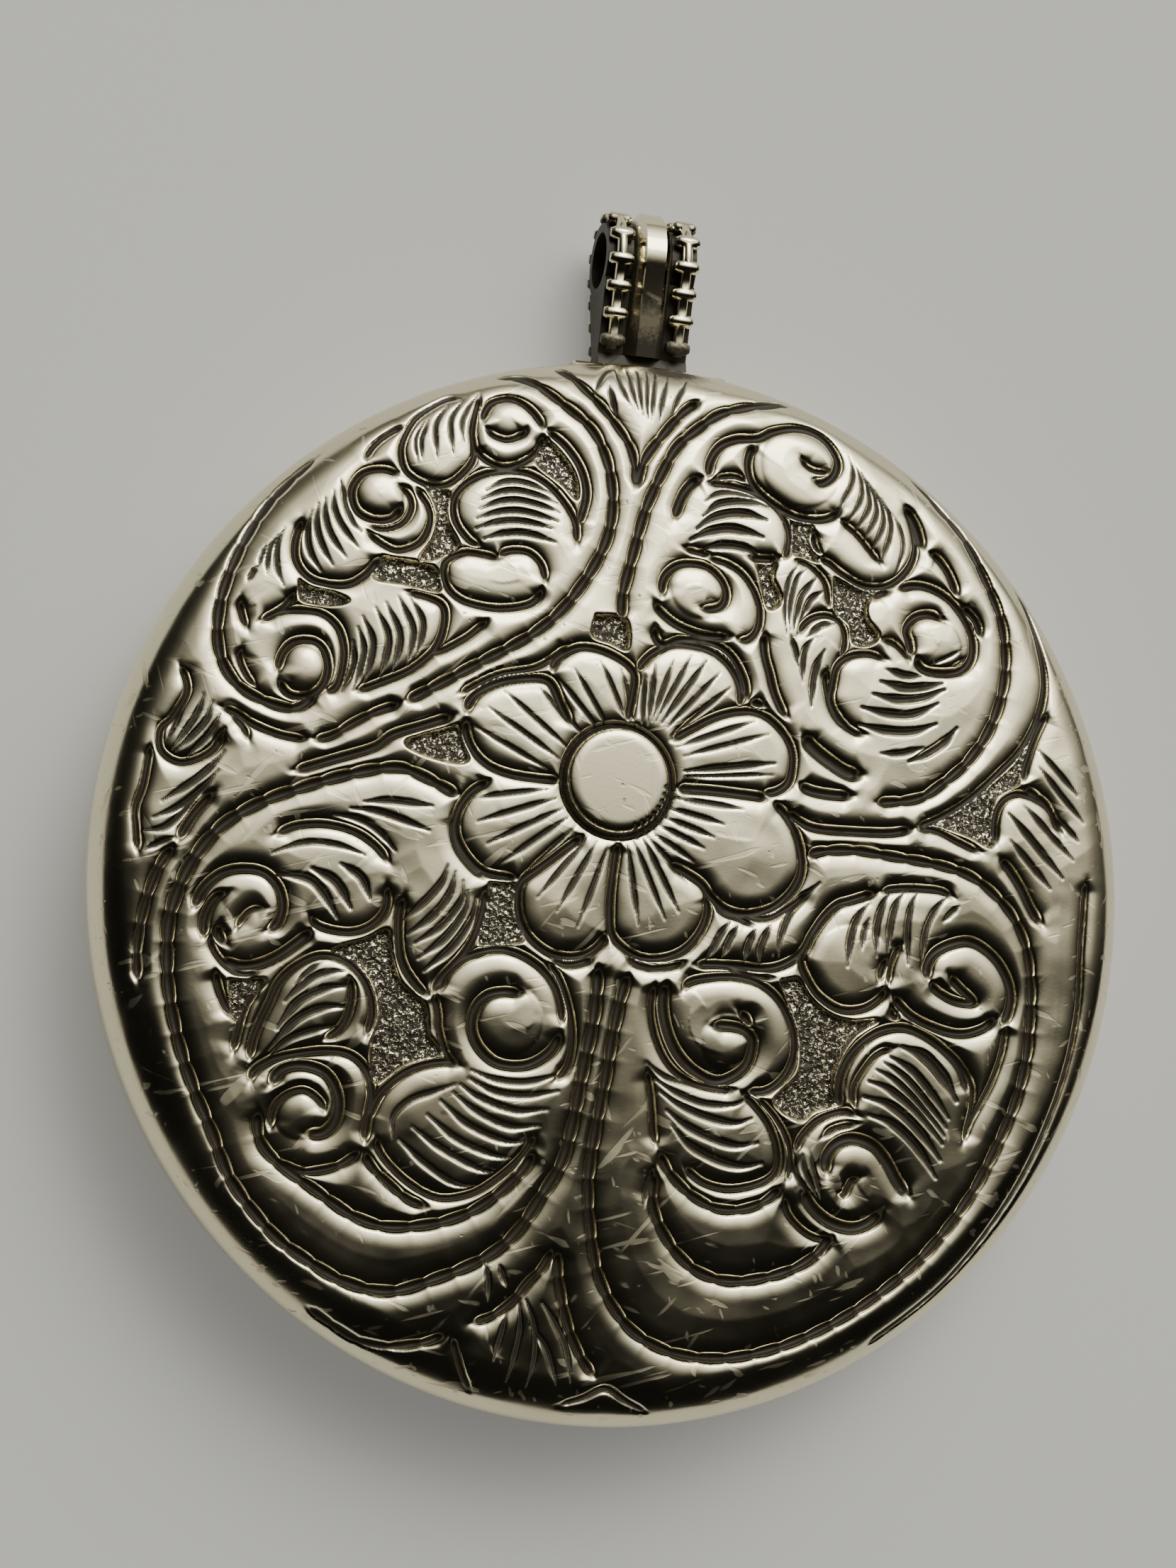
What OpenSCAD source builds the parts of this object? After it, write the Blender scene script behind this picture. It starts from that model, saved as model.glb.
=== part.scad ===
// Round hinged locket with a chased front cover, a fixed beaded bail and two picture frames.
// Millimetres. The locket lies on its back: Z = 0 is the flat back face, +Z comes out of the
// front cover, +Y points at the bail and the origin is the centre of the back face.

/* [Case] */
// Outside diameter of the round case
case_diameter = 54; // [48:1:60]
// Thickness of the sheet the covers and bands are made from
sheet = 0.5; // [0.4:0.05:0.6]
// Height of the back half, from the back face to the parting plane
back_depth = 5.2; // [5:0.1:6]
// Radius of the rounded edge of the back cover
back_edge_radius = 3.2; // [2.8:0.1:3.4]
// Height of the plain band round the lid
lid_band_height = 0.9; // [0.85:0.05:1.2]
// Radius of the rounded shoulder of the front cover
lid_edge_radius = 1.9; // [1.7:0.1:2.2]
// Rise of the front cover's dome from its shoulder to its middle
dome_rise = 0.9; // [0.6:0.1:1.6]
// Height of the raised frames, leaves and petals above the dome
relief_height = 0.55; // [0.3:0.05:0.7]

/* [Hinge] */
// Outside radius of the hinge knuckles
knuckle_radius = 0.65; // [0.55:0.05:0.7]
// Radius of the hinge pin
pin_radius = 0.32; // [0.26:0.02:0.36]
// Length of the middle knuckle, soldered to the case
centre_knuckle_length = 5; // [4:0.2:6]
// Length of each outer knuckle, soldered to the lid
side_knuckle_length = 1.5; // [1.2:0.1:1.8]

/* [Bail] */
// Radius of the round top of the hole the chain runs through
bail_bore_radius = 1.5; // [1.3:0.1:1.7]
// Height of the bail above the case's edge, beads included
bail_height = 9.3; // [8.6:0.1:9.8]
// Width of the bail along its hole
bail_width = 4.9; // [4.5:0.1:5.5]
// Thickness of the bail's strip
bail_sheet = 0.5; // [0.4:0.05:0.6]
// Height of the bail's middle ridge
ridge_height = 0.75; // [0.5:0.05:0.85]
// Length of each bead across the bail
bead_length = 1.3; // [1.1:0.05:1.35]

/* [Picture frames] */
// Height of each retaining frame
frame_height = 0.62; // [0.56:0.02:0.7]
// Thickness of each clear window
window_thickness = 0.25; // [0.2:0.01:0.26]
// Width of each retaining frame
frame_width = 2.06; // [1.7:0.05:2.6]

/* [Fits] */
// Radial clearance of parts that run on each other
running_clearance = 0.05; // [0.03:0.01:0.07]
// Gap between the closed lid and the case at the parting plane
rim_gap = 0.04; // [0.02:0.01:0.06]

/* [Hidden] */
$fn = 96;
solder_gap = 0.01;
case_radius = case_diameter / 2;
layout = case_radius / 27;

// Case: the lip the lid closes over.
lip_outer_radius = case_radius - sheet - solder_gap;
lip_thickness = 0.58;
lip_inner_radius = lip_outer_radius - lip_thickness;
lip_rise = 0.7;
back_edge_centre = case_radius - back_edge_radius;

// Lid.
lid_bottom = back_depth + rim_gap;
lid_shoulder_z = lid_bottom + lid_band_height;
lid_edge_centre = case_radius - lid_edge_radius;
dome_base_z = lid_shoulder_z + lid_edge_radius;
dome_height = lid_edge_radius + dome_rise;
dome_radius = (pow(lid_edge_centre, 2) + pow(dome_height, 2) - pow(lid_edge_radius, 2)) / (2 * dome_rise);
dome_centre_z = lid_shoulder_z + dome_height - dome_radius;
dome_edge_sine = lid_edge_centre / (dome_radius - lid_edge_radius);
lid_band_inner_radius = lip_outer_radius + running_clearance + solder_gap;

// Hinge.
hinge_y = case_radius - 0.4;
hinge_z = back_depth;
knuckle_gap = 0.08;
hinge_sweep = 0.12;
side_knuckle_start = centre_knuckle_length / 2 + knuckle_gap;
side_knuckle_end = side_knuckle_start + side_knuckle_length;
pin_head_start = side_knuckle_end + knuckle_gap;
pin_head_length = 0.3;
pin_head_radius = pin_radius + 0.15;
hinge_slot_half = pin_head_start + pin_head_length + 0.35;

// Snap bead.
snap_radius = 0.5;
snap_stand = running_clearance + 0.06;
snap_z = back_depth + 0.38;

// Bail.
bead_radius = 0.35;
wire_radius = 0.28;
band_radius = bail_bore_radius + bail_sheet;
wire_ring_radius = band_radius + bead_radius;
bail_z = back_edge_radius - 0.1;
foot_length = 1.3;
foot_top_y = case_radius + foot_length;
bail_y = case_radius + bail_height - band_radius - 2 * bead_radius;
// The bail's two legs lean in towards its foot by this angle.
leg_lean = 15;
// Distance from the leg's top end to a height, for a leg that follows the round top at a radius.
function leg_length(radius, y) = (bail_y - y - radius * sin(leg_lean)) / cos(leg_lean);
function leg_half(radius, y) = radius * cos(leg_lean) - leg_length(radius, y) * sin(leg_lean);
foot_half_top = leg_half(band_radius, foot_top_y) + 0.1;
foot_half_base = foot_half_top + 0.25;
seat_top_y = bail_y - band_radius * sin(45);
bead_x = (bail_width - bead_length) / 2;
bead_pitch = 1.42;
leg_beads = 6;
ridge_base = bail_width - 2 * bead_length - 0.16;
ridge_top = ridge_base / 2;

// Picture frames.
frame_radius = lid_edge_centre + 0.1;
seat_radius = frame_radius + 0.04;
seat_wall = 0.5;
seat_height = 2.1;
seat_drop = 0.95;
ledge_radius = frame_radius - 0.56;
window_radius = frame_radius - 0.65;
back_ledge_z = sheet + 0.85;
front_ledge_z = dome_base_z - sheet - 0.4;
ledge_thickness = 0.25;
flange_height = frame_height - window_thickness - 0.07;

// Ornament of the front cover, laid out for a 27 mm radius.
rosette = [-1.7, 4.8];
boss_radius = 2.7;
// Each petal: direction in degrees, reach, width.
petals = [
    [157, 8.2, 4.2], [104, 6.8, 4.4], [55, 8.6, 4.4], [13, 9.4, 3.7],
    [-24, 9.9, 5.4], [-71, 9.0, 4.8], [-108, 9.0, 4.4], [-155, 8.1, 4.4]
];
// Liner cuts beside the straps that frame the four fields: points along each.
upper_left_cuts = [
    [[-21.8, 10.6], [-21.5, 9.3], [-20.3, 7.8], [-18.0, 7.1], [-16.7, 8.0]],
    [[-5.2, 23.8], [-3.5, 22.4], [-2.6, 20.0], [-2.7, 17.2], [-4.1, 14.3], [-6.1, 12.0],
     [-9.6, 9.7], [-12.6, 7.8], [-15.0, 6.6], [-17.0, 5.6]]
];
upper_right_cuts = [
    [[1.9, 23.9], [0.8, 22.3], [-0.1, 20.5], [-0.8, 18.7], [-1.3, 16.6], [-1.8, 12.8]],
    [[15.6, 19.6], [18.1, 17.3], [19.0, 15.3], [19.4, 13.3], [19.2, 11.3], [18.5, 9.2],
     [17.3, 7.4], [14.5, 5.2], [12.0, 4.8]]
];
lower_left_cuts = [
    [[-9.5, 3.4], [-12.8, 4.6], [-15.0, 4.1], [-19.2, 2.4], [-21.0, 1.1], [-22.3, -0.8],
     [-23.0, -3.0], [-23.1, -5.0], [-22.2, -9.2], [-20.4, -13.2], [-17.3, -17.8],
     [-13.7, -20.0], [-11.5, -20.4], [-9.2, -19.7], [-5.6, -17.5], [-3.5, -14.0],
     [-2.7, -9.5], [-2.2, -5.0]],
    [[-18.3, -12.0], [-17.4, -14.4], [-13.5, -16.9], [-10.5, -17.3], [-7.6, -16.4], [-4.9, -13.4]]
];
lower_right_cuts = [
    [[9.0, 2.0], [13.0, 2.1], [16.0, 1.8], [18.0, 1.2], [19.8, -0.2], [20.8, -1.8], [21.3, -5.5],
     [20.5, -10.3], [18.2, -15.0], [14.8, -18.9], [10.2, -21.9], [5.5, -23.2], [3.0, -23.1],
     [1.0, -22.3], [-1.3, -19.4], [-2.1, -15.0], [-1.5, -10.0], [-0.6, -4.6]],
    [[1.2, -14.2], [1.7, -17.0], [3.8, -19.1], [7.0, -19.3], [10.9, -17.0]]
];
cut_width = 0.5;
// Scrolls: centre and radius.
scrolls = [
    [-8.1, 22.2, 1.8], [-13.9, 17.9, 2], [-8.0, 14.7, 1.9], [-17.8, 9.4, 2.4],
    [7.6, 22.1, 2.3], [2.6, 15, 1.7], [15, 13.6, 2.4],
    [-18.6, -3.2, 2.0], [-15.8, -12.1, 2.2], [-6.6, -7.1, 2.5],
    [17.0, -4.2, 2.2], [4.8, -7.6, 2.5], [11.6, -14.2, 2.3]
];
// Leaves: middle, length, width, direction of the length.
leaves = [
    [-11.7, 21.4, 4.4, 2.8, 70], [-7.4, 18.3, 5.8, 3.4, 160], [-15.9, 15.9, 5.2, 2.8, 130],
    [-19.1, 13.8, 3.6, 1.6, 100], [-13.5, 11.3, 5.4, 3.6, 70],
    [11.4, 18.9, 6.4, 3.4, 115], [4.6, 18.7, 5.4, 3.2, 15], [8.1, 15.7, 3.6, 2.4, 60],
    [9.0, 12.4, 4.4, 2.2, 75], [13.6, 9.6, 6.4, 3.8, 20],
    [-13.4, 2.2, 5.6, 2.6, 165], [-15.6, -1.9, 5.2, 2.6, 160], [-16.0, -7.2, 5.6, 3.8, 50],
    [-10.3, -2.4, 5.6, 2.8, 65], [-8.3, -12.7, 7.6, 4.8, 30],
    [5.9, -2.2, 5.2, 2.2, 20], [11.9, -2.7, 6.0, 3.8, 40], [4.8, -12.6, 6.2, 4.4, 135],
    [14.6, -10.6, 7.4, 4.2, 115],
    [-22.2, 5.6, 4.6, 2.0, 65], [-23.4, 1.8, 4.4, 1.8, 70],
    [22.0, 6.6, 4.8, 2.4, 130], [21.4, 3.4, 4.8, 2.4, 130],
    [-0.8, 24.0, 4.2, 2.8, 88], [-4.6, -22.2, 4.6, 3.4, 100]
];
border_radius = 24.2;
// Sunk grounds between the motifs.
grounds = [
    [[-10.3, 17.0], [-11.2, 18.8], [-14.0, 15.0], [-11.2, 13.5], [-9.6, 15.9]],
    [[-5.0, 21.0], [-6.6, 20.4], [-4.4, 18.6]],
    [[9.5, 16.3], [11.9, 15.9], [11.2, 12.4], [9.8, 13.6]],
    [[15.2, 3.9], [20.9, 9.0], [20.2, 4.6], [17.6, 3.2]],
    [[-12.4, 5.9], [-9.9, 6.9], [-9.3, 5.2]],
    [[-3.3, 12.9], [-1.6, 13.1], [-1.6, 11.5]],
    [[7.4, -4.5], [9.4, -5.6], [12.6, -6.3], [10.2, -10.4], [8.0, -8.4]],
    [[-13.4, -3.6], [-11.9, -5.8], [-9.4, -7.6], [-10.4, -10.4], [-13.0, -8.6]],
    [[-7.9, -0.7], [-6.6, -0.8], [-6.0, -3.4], [-8.2, -3.7]]
];
channel = 0.3;

silver = [0.83, 0.82, 0.76];
bright = [0.88, 0.87, 0.82];
dark_silver = [0.62, 0.6, 0.54];
clear = [0.85, 0.9, 0.92, 0.35];

// A ring with a square section.
module ring(inner, outer, low, high) {
    rotate_extrude()
        translate([inner, low]) square([outer - inner, high - low]);
}

// A bar along X, centred on the hinge line.
module hinge_bar(radius, from, to, turn = 96) {
    translate([from, hinge_y, hinge_z])
        rotate([0, 90, 0]) cylinder(r = radius, h = to - from, $fn = turn);
}

// Half section of the solid back, grown or shrunk by an offset.
module back_section(shrink) {
    translate([0, shrink]) square([back_edge_centre, back_edge_radius - shrink]);
    intersection() {
        translate([back_edge_centre, back_edge_radius]) circle(r = back_edge_radius - shrink);
        translate([back_edge_centre, 0]) square([back_edge_radius, back_edge_radius]);
    }
}

module back_cover() {
    color(silver)
        rotate_extrude()
            difference() {
                back_section(0);
                back_section(sheet);
                translate([back_edge_centre - 1, back_edge_radius])
                    square([back_edge_radius + 2, 1]);
            }
}

module case_band() {
    color(silver)
        difference() {
            ring(case_radius - sheet, case_radius, back_edge_radius, back_depth);
            case_hinge_cut();
            translate([0, -case_radius - 1.75, back_depth]) sphere(r = 2);
        }
}

// The case keeps metal against its own knuckle and clears the lid's knuckles.
module case_hinge_cut() {
    sweep = knuckle_radius + hinge_sweep + 0.05;
    for (side = [0, 1])
        mirror([side, 0, 0])
            hinge_bar(sweep, centre_knuckle_length / 2, hinge_slot_half);
    hinge_bar(knuckle_radius + solder_gap, -centre_knuckle_length / 2 - 0.1,
        centre_knuckle_length / 2 + 0.1);
}

module case_lip() {
    color(bright)
        difference() {
            ring(lip_inner_radius, lip_outer_radius, back_edge_radius, back_depth + lip_rise);
            hinge_bar(knuckle_radius + hinge_sweep + 0.05, -hinge_slot_half, hinge_slot_half);
            translate([-hinge_slot_half, hinge_y - 3 * knuckle_radius, hinge_z - 0.3 * knuckle_radius])
                cube([2 * hinge_slot_half, 6 * knuckle_radius, 3 * knuckle_radius]);
        }
}

module case_knuckle() {
    color(silver)
        difference() {
            hinge_bar(knuckle_radius, -centre_knuckle_length / 2, centre_knuckle_length / 2);
            hinge_bar(pin_radius + solder_gap, -centre_knuckle_length, centre_knuckle_length);
        }
}

module hinge_pin() {
    color(bright) {
        hinge_bar(pin_radius, -pin_head_start - 0.1, pin_head_start + 0.1);
        for (side = [0, 1])
            mirror([side, 0, 0])
                hinge_bar(pin_head_radius, pin_head_start, pin_head_start + pin_head_length);
    }
}

module snap_bead() {
    color(bright)
        difference() {
            translate([0, -(lip_outer_radius + snap_stand - snap_radius), snap_z])
                sphere(r = snap_radius, $fn = 48);
            cylinder(r = lip_outer_radius + solder_gap, h = 2 * back_depth);
        }
}

module back_frame_seat() {
    color(dark_silver)
        rotate_extrude()
            intersection() {
                back_section(sheet + solder_gap);
                union() {
                    translate([seat_radius, sheet]) square([seat_wall, seat_height]);
                    translate([ledge_radius, back_ledge_z - ledge_thickness])
                        square([seat_radius - ledge_radius + 0.1, ledge_thickness]);
                }
            }
}

// The bail's wedge-shaped foot, hard-soldered to the edge of the case. Its top is hollowed
// to seat the bail's ring, and its two leaning faces carry the beads and the ridge.
module bail_foot() {
    color(silver)
        difference() {
            translate([-bail_width / 2, 0, 0])
                rotate([90, 0, 90])
                    linear_extrude(height = bail_width)
                        polygon([
                            [case_radius - 0.6, bail_z - foot_half_base],
                            [case_radius + 0.3, bail_z - foot_half_base],
                            [foot_top_y, bail_z - foot_half_top],
                            [foot_top_y, bail_z - leg_half(band_radius, foot_top_y)],
                            [seat_top_y, bail_z - leg_half(band_radius, seat_top_y)],
                            [seat_top_y, bail_z + leg_half(band_radius, seat_top_y)],
                            [foot_top_y, bail_z + leg_half(band_radius, foot_top_y)],
                            [foot_top_y, bail_z + foot_half_top],
                            [case_radius + 0.3, bail_z + foot_half_base],
                            [case_radius - 0.6, bail_z + foot_half_base]
                        ]);
            rotate_extrude() back_section(-solder_gap);
            translate([0, 0, back_edge_radius - 0.01])
                cylinder(r = case_radius + solder_gap, h = back_depth);
            translate([-bail_width, bail_y, bail_z])
                rotate([0, 90, 0])
                    cylinder(r = band_radius + solder_gap, h = 2 * bail_width);
        }
}

// A shape swept round the top of the bail, with a straight leg on each side down to its foot.
module round_bail(leg) {
    translate([0, bail_y, bail_z])
        rotate([0, 90, 0])
            union() {
                rotate([0, 0, -leg_lean]) rotate_extrude(angle = 180 + 2 * leg_lean) children();
                for (side = [0, 1])
                    mirror([side, 0, 0])
                        rotate([0, 0, -leg_lean]) rotate([90, 0, 0]) linear_extrude(height = leg)
                            children();
            }
}

// The ring of strip that the chain runs through.
module bail_band() {
    color(silver)
        translate([0, bail_y, bail_z])
            rotate([0, 90, 0])
                rotate_extrude()
                    translate([bail_bore_radius, -bail_width / 2])
                        square([bail_sheet, bail_width]);
}

module bail_ridge() {
    low = band_radius + solder_gap;
    high = band_radius + ridge_height;
    color(bright)
        round_bail(leg_length(band_radius, foot_top_y + 0.05))
            polygon([
                [low, -ridge_base / 2], [high, -ridge_top / 2],
                [high, ridge_top / 2], [low, ridge_base / 2]
            ]);
}

// One barrel-shaped bead, lying along Z before the bail is turned.
module bead() {
    end = bead_length / 2;
    rotate_extrude($fn = 32)
        polygon([
            [0, -end], [bead_radius - 0.12, -end], [bead_radius, 0.2 - end],
            [bead_radius, end - 0.2], [bead_radius - 0.12, end], [0, end]
        ]);
}

module bead_wire(x) {
    color(bright)
        translate([x, 0, 0]) {
            round_bail(leg_length(wire_ring_radius, foot_top_y + 0.15))
                translate([wire_ring_radius, 0]) circle(r = wire_radius, $fn = 32);
            translate([0, bail_y, bail_z])
                rotate([0, 90, 0])
                    for (side = [0, 1])
                        mirror([side, 0, 0])
                            for (i = [side : leg_beads])
                                along_ring(i * bead_pitch) bead();
        }
}

// Carries a shape a distance along the wire from the bail's top: round the arc, then down the leg.
module along_ring(distance) {
    arc = wire_ring_radius * (90 + leg_lean) * PI / 180;
    if (distance <= arc)
        rotate([0, 0, 90 - distance / wire_ring_radius * 180 / PI])
            translate([wire_ring_radius, 0, 0]) children();
    else
        rotate([0, 0, -leg_lean])
            translate([wire_ring_radius, arc - distance, 0]) children();
}

module bail_bead_wire_left() { bead_wire(-bead_x); }

module bail_bead_wire_right() { bead_wire(bead_x); }

// Half section of the solid lid above its band, grown by an offset. The dome and the
// shoulder are arcs that meet smoothly, where their radii lie on one line.
module lid_section(grow) {
    edge = (dome_radius + grow) * dome_edge_sine;
    intersection() {
        translate([0, dome_centre_z]) circle(r = dome_radius + grow, $fn = 720);
        translate([0, lid_shoulder_z]) square([edge, 3 * lid_edge_radius]);
    }
    intersection() {
        translate([lid_edge_centre, lid_shoulder_z]) circle(r = lid_edge_radius + grow);
        translate([edge, lid_shoulder_z])
            square([lid_edge_radius + 1, lid_edge_radius + 1]);
    }
}

// Flat ornament raised by a height above the dome, cut off at a radius.
module raised(height, reach) {
    intersection() {
        rotate_extrude() lid_section(height);
        translate([0, 0, lid_shoulder_z + sheet])
            linear_extrude(height = 4 * dome_height)
                scale(layout)
                    intersection() {
                        circle(r = reach);
                        children();
                    }
    }
}

// A petal with a round tip, reaching out from the rosette's middle.
module petal(direction, reach, width) {
    tip = width / 2;
    translate(rosette)
        rotate(direction) {
            translate([reach - tip, 0]) circle(r = tip, $fn = 48);
            polygon([[0.5, -0.3], [reach - tip, -tip], [reach - tip, tip], [0.5, 0.3]]);
        }
}

// A leaf with two pointed ends: where two equal circles overlap.
module leaf(x, y, length, width, direction) {
    bow = (length * length + width * width) / (4 * width);
    translate([x, y])
        rotate(direction)
            intersection() {
                translate([0, bow - width / 2]) circle(r = bow);
                translate([0, width / 2 - bow]) circle(r = bow);
            }
}

// A band of even width along a line of points.
function unit(v) = v / norm(v);
function along(points, i) =
    unit(points[min(i + 1, len(points) - 1)] - points[max(i - 1, 0)]);
function band_side(points, half) =
    [for (i = [0 : len(points) - 1])
        let (a = along(points, i)) points[i] + half * [-a[1], a[0]]];

module line_cut(points, width) {
    right = band_side(points, width / 2);
    left = band_side(points, -width / 2);
    polygon(concat(left, [for (i = [1 : len(points)]) right[len(points) - i]]));
}

// Outlines of the ornament, flat.
module scrolls_and_leaves(grow = 0) {
    for (s = scrolls)
        translate([s[0], s[1]]) circle(r = s[2] + grow, $fn = 24);
    for (l = leaves)
        leaf(l[0], l[1], l[2] + 3 * grow, l[3] + 2 * grow, l[4]);
}

module rosette_petals(grow = 0) {
    for (p = petals)
        petal(p[0], p[1] + grow, p[2] + 2 * grow);
}

// The worked field, less the sunk grounds, the liner cuts and channels round the motifs.
module field() {
    difference() {
        circle(r = border_radius);
        for (g = grounds)
            polygon(g);
        for (cuts = [upper_left_cuts, upper_right_cuts, lower_left_cuts, lower_right_cuts])
            for (points = cuts)
                line_cut(points, cut_width);
        scrolls_and_leaves(channel);
        rosette_petals(channel);
    }
}

module front_cover() {
    color(silver)
        difference() {
            union() {
                rotate_extrude() lid_section(0);
                raised(relief_height * 0.7, border_radius) field();
                raised(relief_height * 0.9, border_radius) scrolls_and_leaves();
                raised(relief_height, border_radius) rosette_petals();
                raised(relief_height + 0.25, border_radius)
                    translate(rosette) circle(r = boss_radius);
            }
            rotate_extrude() lid_section(-sheet);
            lid_hinge_cut();
        }
}

// The lid keeps metal against its own knuckles and clears the case's knuckle and the pin.
module lid_hinge_cut() {
    sweep = knuckle_radius + hinge_sweep;
    hinge_bar(sweep, -side_knuckle_start, side_knuckle_start);
    for (side = [0, 1])
        mirror([side, 0, 0]) {
            hinge_bar(knuckle_radius + solder_gap, side_knuckle_start - 0.1,
                side_knuckle_end + 0.1);
            hinge_bar(sweep, side_knuckle_end, hinge_slot_half);
        }
}

module lid_band() {
    color(silver)
        difference() {
            ring(lid_band_inner_radius, case_radius, lid_bottom, lid_shoulder_z);
            lid_hinge_cut();
            translate([0, -(lip_outer_radius + snap_stand - snap_radius), snap_z])
                sphere(r = snap_radius + 0.06, $fn = 48);
        }
}

module lid_knuckle(side) {
    color(silver)
        mirror([side, 0, 0])
            difference() {
                hinge_bar(knuckle_radius, side_knuckle_start, side_knuckle_end);
                hinge_bar(pin_radius + running_clearance, 0, 2 * side_knuckle_end);
            }
}

module lid_knuckle_left() { lid_knuckle(1); }

module lid_knuckle_right() { lid_knuckle(0); }

module front_frame_seat() {
    color(dark_silver)
        rotate_extrude()
            intersection() {
                lid_section(-sheet - solder_gap);
                union() {
                    translate([seat_radius, front_ledge_z - seat_drop])
                        square([seat_wall, seat_height]);
                    translate([ledge_radius, front_ledge_z])
                        square([seat_radius - ledge_radius + 0.1, ledge_thickness]);
                }
            }
}

// A retaining frame lying face up on Z = 0, with a rebate for its window underneath.
module picture_frame() {
    ring(window_radius + 0.05, frame_radius, 0, frame_height);
    ring(frame_radius - frame_width, window_radius + 0.15, frame_height - flange_height,
        frame_height);
}

module back_picture_frame() {
    color(bright) translate([0, 0, back_ledge_z + solder_gap]) picture_frame();
}

module back_window() {
    color(clear)
        translate([0, 0, back_ledge_z + solder_gap + 0.04])
            cylinder(r = window_radius, h = window_thickness);
}

module front_picture_frame() {
    color(bright) translate([0, 0, front_ledge_z - solder_gap]) mirror([0, 0, 1]) picture_frame();
}

module front_window() {
    color(clear)
        translate([0, 0, front_ledge_z - solder_gap - 0.04 - window_thickness])
            cylinder(r = window_radius, h = window_thickness);
}

back_cover();
case_band();
case_lip();
case_knuckle();
hinge_pin();
snap_bead();
back_frame_seat();
bail_foot();
bail_band();
bail_ridge();
bail_bead_wire_left();
bail_bead_wire_right();
front_cover();
lid_band();
lid_knuckle_left();
lid_knuckle_right();
front_frame_seat();
back_picture_frame();
back_window();
front_picture_frame();
front_window();
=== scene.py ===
"""Looks of a round hinged silver locket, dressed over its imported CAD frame."""

import math
from types import SimpleNamespace

import bmesh
import bpy
import numpy as np
from bpy.props import FloatProperty, FloatVectorProperty, IntProperty, PointerProperty
from mathutils import Matrix, Vector


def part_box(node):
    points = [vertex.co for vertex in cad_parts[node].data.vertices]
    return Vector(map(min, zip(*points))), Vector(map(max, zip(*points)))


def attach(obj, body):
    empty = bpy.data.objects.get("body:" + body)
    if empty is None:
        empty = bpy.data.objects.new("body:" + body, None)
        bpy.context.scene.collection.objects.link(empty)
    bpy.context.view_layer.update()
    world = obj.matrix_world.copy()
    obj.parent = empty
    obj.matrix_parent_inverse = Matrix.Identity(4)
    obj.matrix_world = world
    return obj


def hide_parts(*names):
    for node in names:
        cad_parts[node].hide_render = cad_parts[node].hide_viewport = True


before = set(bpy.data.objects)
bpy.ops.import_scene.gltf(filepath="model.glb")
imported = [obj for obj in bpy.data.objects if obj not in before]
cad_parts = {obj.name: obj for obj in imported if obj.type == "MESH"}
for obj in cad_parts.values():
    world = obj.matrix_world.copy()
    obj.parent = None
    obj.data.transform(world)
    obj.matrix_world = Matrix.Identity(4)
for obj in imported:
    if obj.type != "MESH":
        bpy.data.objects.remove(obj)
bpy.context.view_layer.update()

bl_info = {
    "name": "Chased Silver Locket",
    "version": (1, 0, 0),
    "blender": (4, 2, 0),
    "location": "View3D > Sidebar > Locket",
    "description": "Dresses the CAD frame of a round locket with chased silver, clear windows and a "
                   "plain stage",
    "category": "Object",
}

MM = 0.001

# The lean of the two faces of the bail's foot from upright, in degrees.
BAIL_LEAN = 15.0

# The lid's outer section, in millimetres: a shallow dome that meets a rounded shoulder.
CASE_RADIUS = -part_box("back_cover")[0].y / MM
SHOULDER_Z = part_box("lid_band")[1].z / MM
EDGE_RADIUS = 1.9
DOME_RISE = 0.9
SHEET = 0.5
EDGE_CENTRE = CASE_RADIUS - EDGE_RADIUS
DOME_HEIGHT = EDGE_RADIUS + DOME_RISE
DOME_RADIUS = (EDGE_CENTRE ** 2 + DOME_HEIGHT ** 2 - EDGE_RADIUS ** 2) / (2 * DOME_RISE)
DOME_CENTRE_Z = SHOULDER_Z + DOME_HEIGHT - DOME_RADIUS
EDGE_ANGLE = math.asin(EDGE_CENTRE / (DOME_RADIUS - EDGE_RADIUS))
DOME_ARC = DOME_RADIUS * EDGE_ANGLE
SECTION_ARC = DOME_ARC + EDGE_RADIUS * (math.pi / 2 - EDGE_ANGLE)

# Layout of the chasing, in millimetres on the cover seen from above, with +Y towards the bail.
ROSETTE = (-1.7, 4.8)
BOSS_RADIUS = 2.75
WORKED_RADIUS = 24.3
RIM_RADIUS = 26.7
FIELD_HALF = 27.0
CURVE_STEP = 0.12

# The boss: half width of the groove round it, width of its rounded edge, and the punch marks on it.
BOSS_RING_HALF = 0.2
BOSS_SHOULDER = 0.7
TICK_WIDTH = 0.3
TICK_ENDS = (2.35, 3.05)
TICK_ANGLES = range(-68, 0, 9)

# How the cuts and ribs are worked. REACH is how far from its line one is worked out, and FULL_WIDTH
# the width at which it has its full depth. ROUNDNESS is the power that shapes its bottom.
CUT_REACH = 2.2
CUT_END = 0.7
CUT_FULL_WIDTH = 0.5
CUT_ROUNDNESS = 0.6
RIB_REACH = 0.9
RIB_FULL_WIDTH = 0.3
RIB_ROUNDNESS = 0.7
RIB_SHOULDER = 0.5
RIB_DARKNESS = 0.85

# The sunk grounds, and the widths of the blurred noises that matt them and beat the metal uneven.
MATTING_DOT = 0.07
GROUND_REACH = 1
GROUND_EDGE = (-0.12, 0.15)
GROUND_DARKNESS = 0.7
BROAD_UNEVENNESS = 1.1
FINE_UNEVENNESS = 0.4
FINE_UNEVENNESS_SHARE = 0.35
RIM_FADE = 0.5

# A painted shadow that the bail's foot casts on to the cover: middle, half sizes and darkness.
BAIL_SHADOW_MIDDLE = (0.6, 26.6)
BAIL_SHADOW_SIZE = (2.4, 1.0)
BAIL_SHADOW_DARKNESS = 0.8

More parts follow.
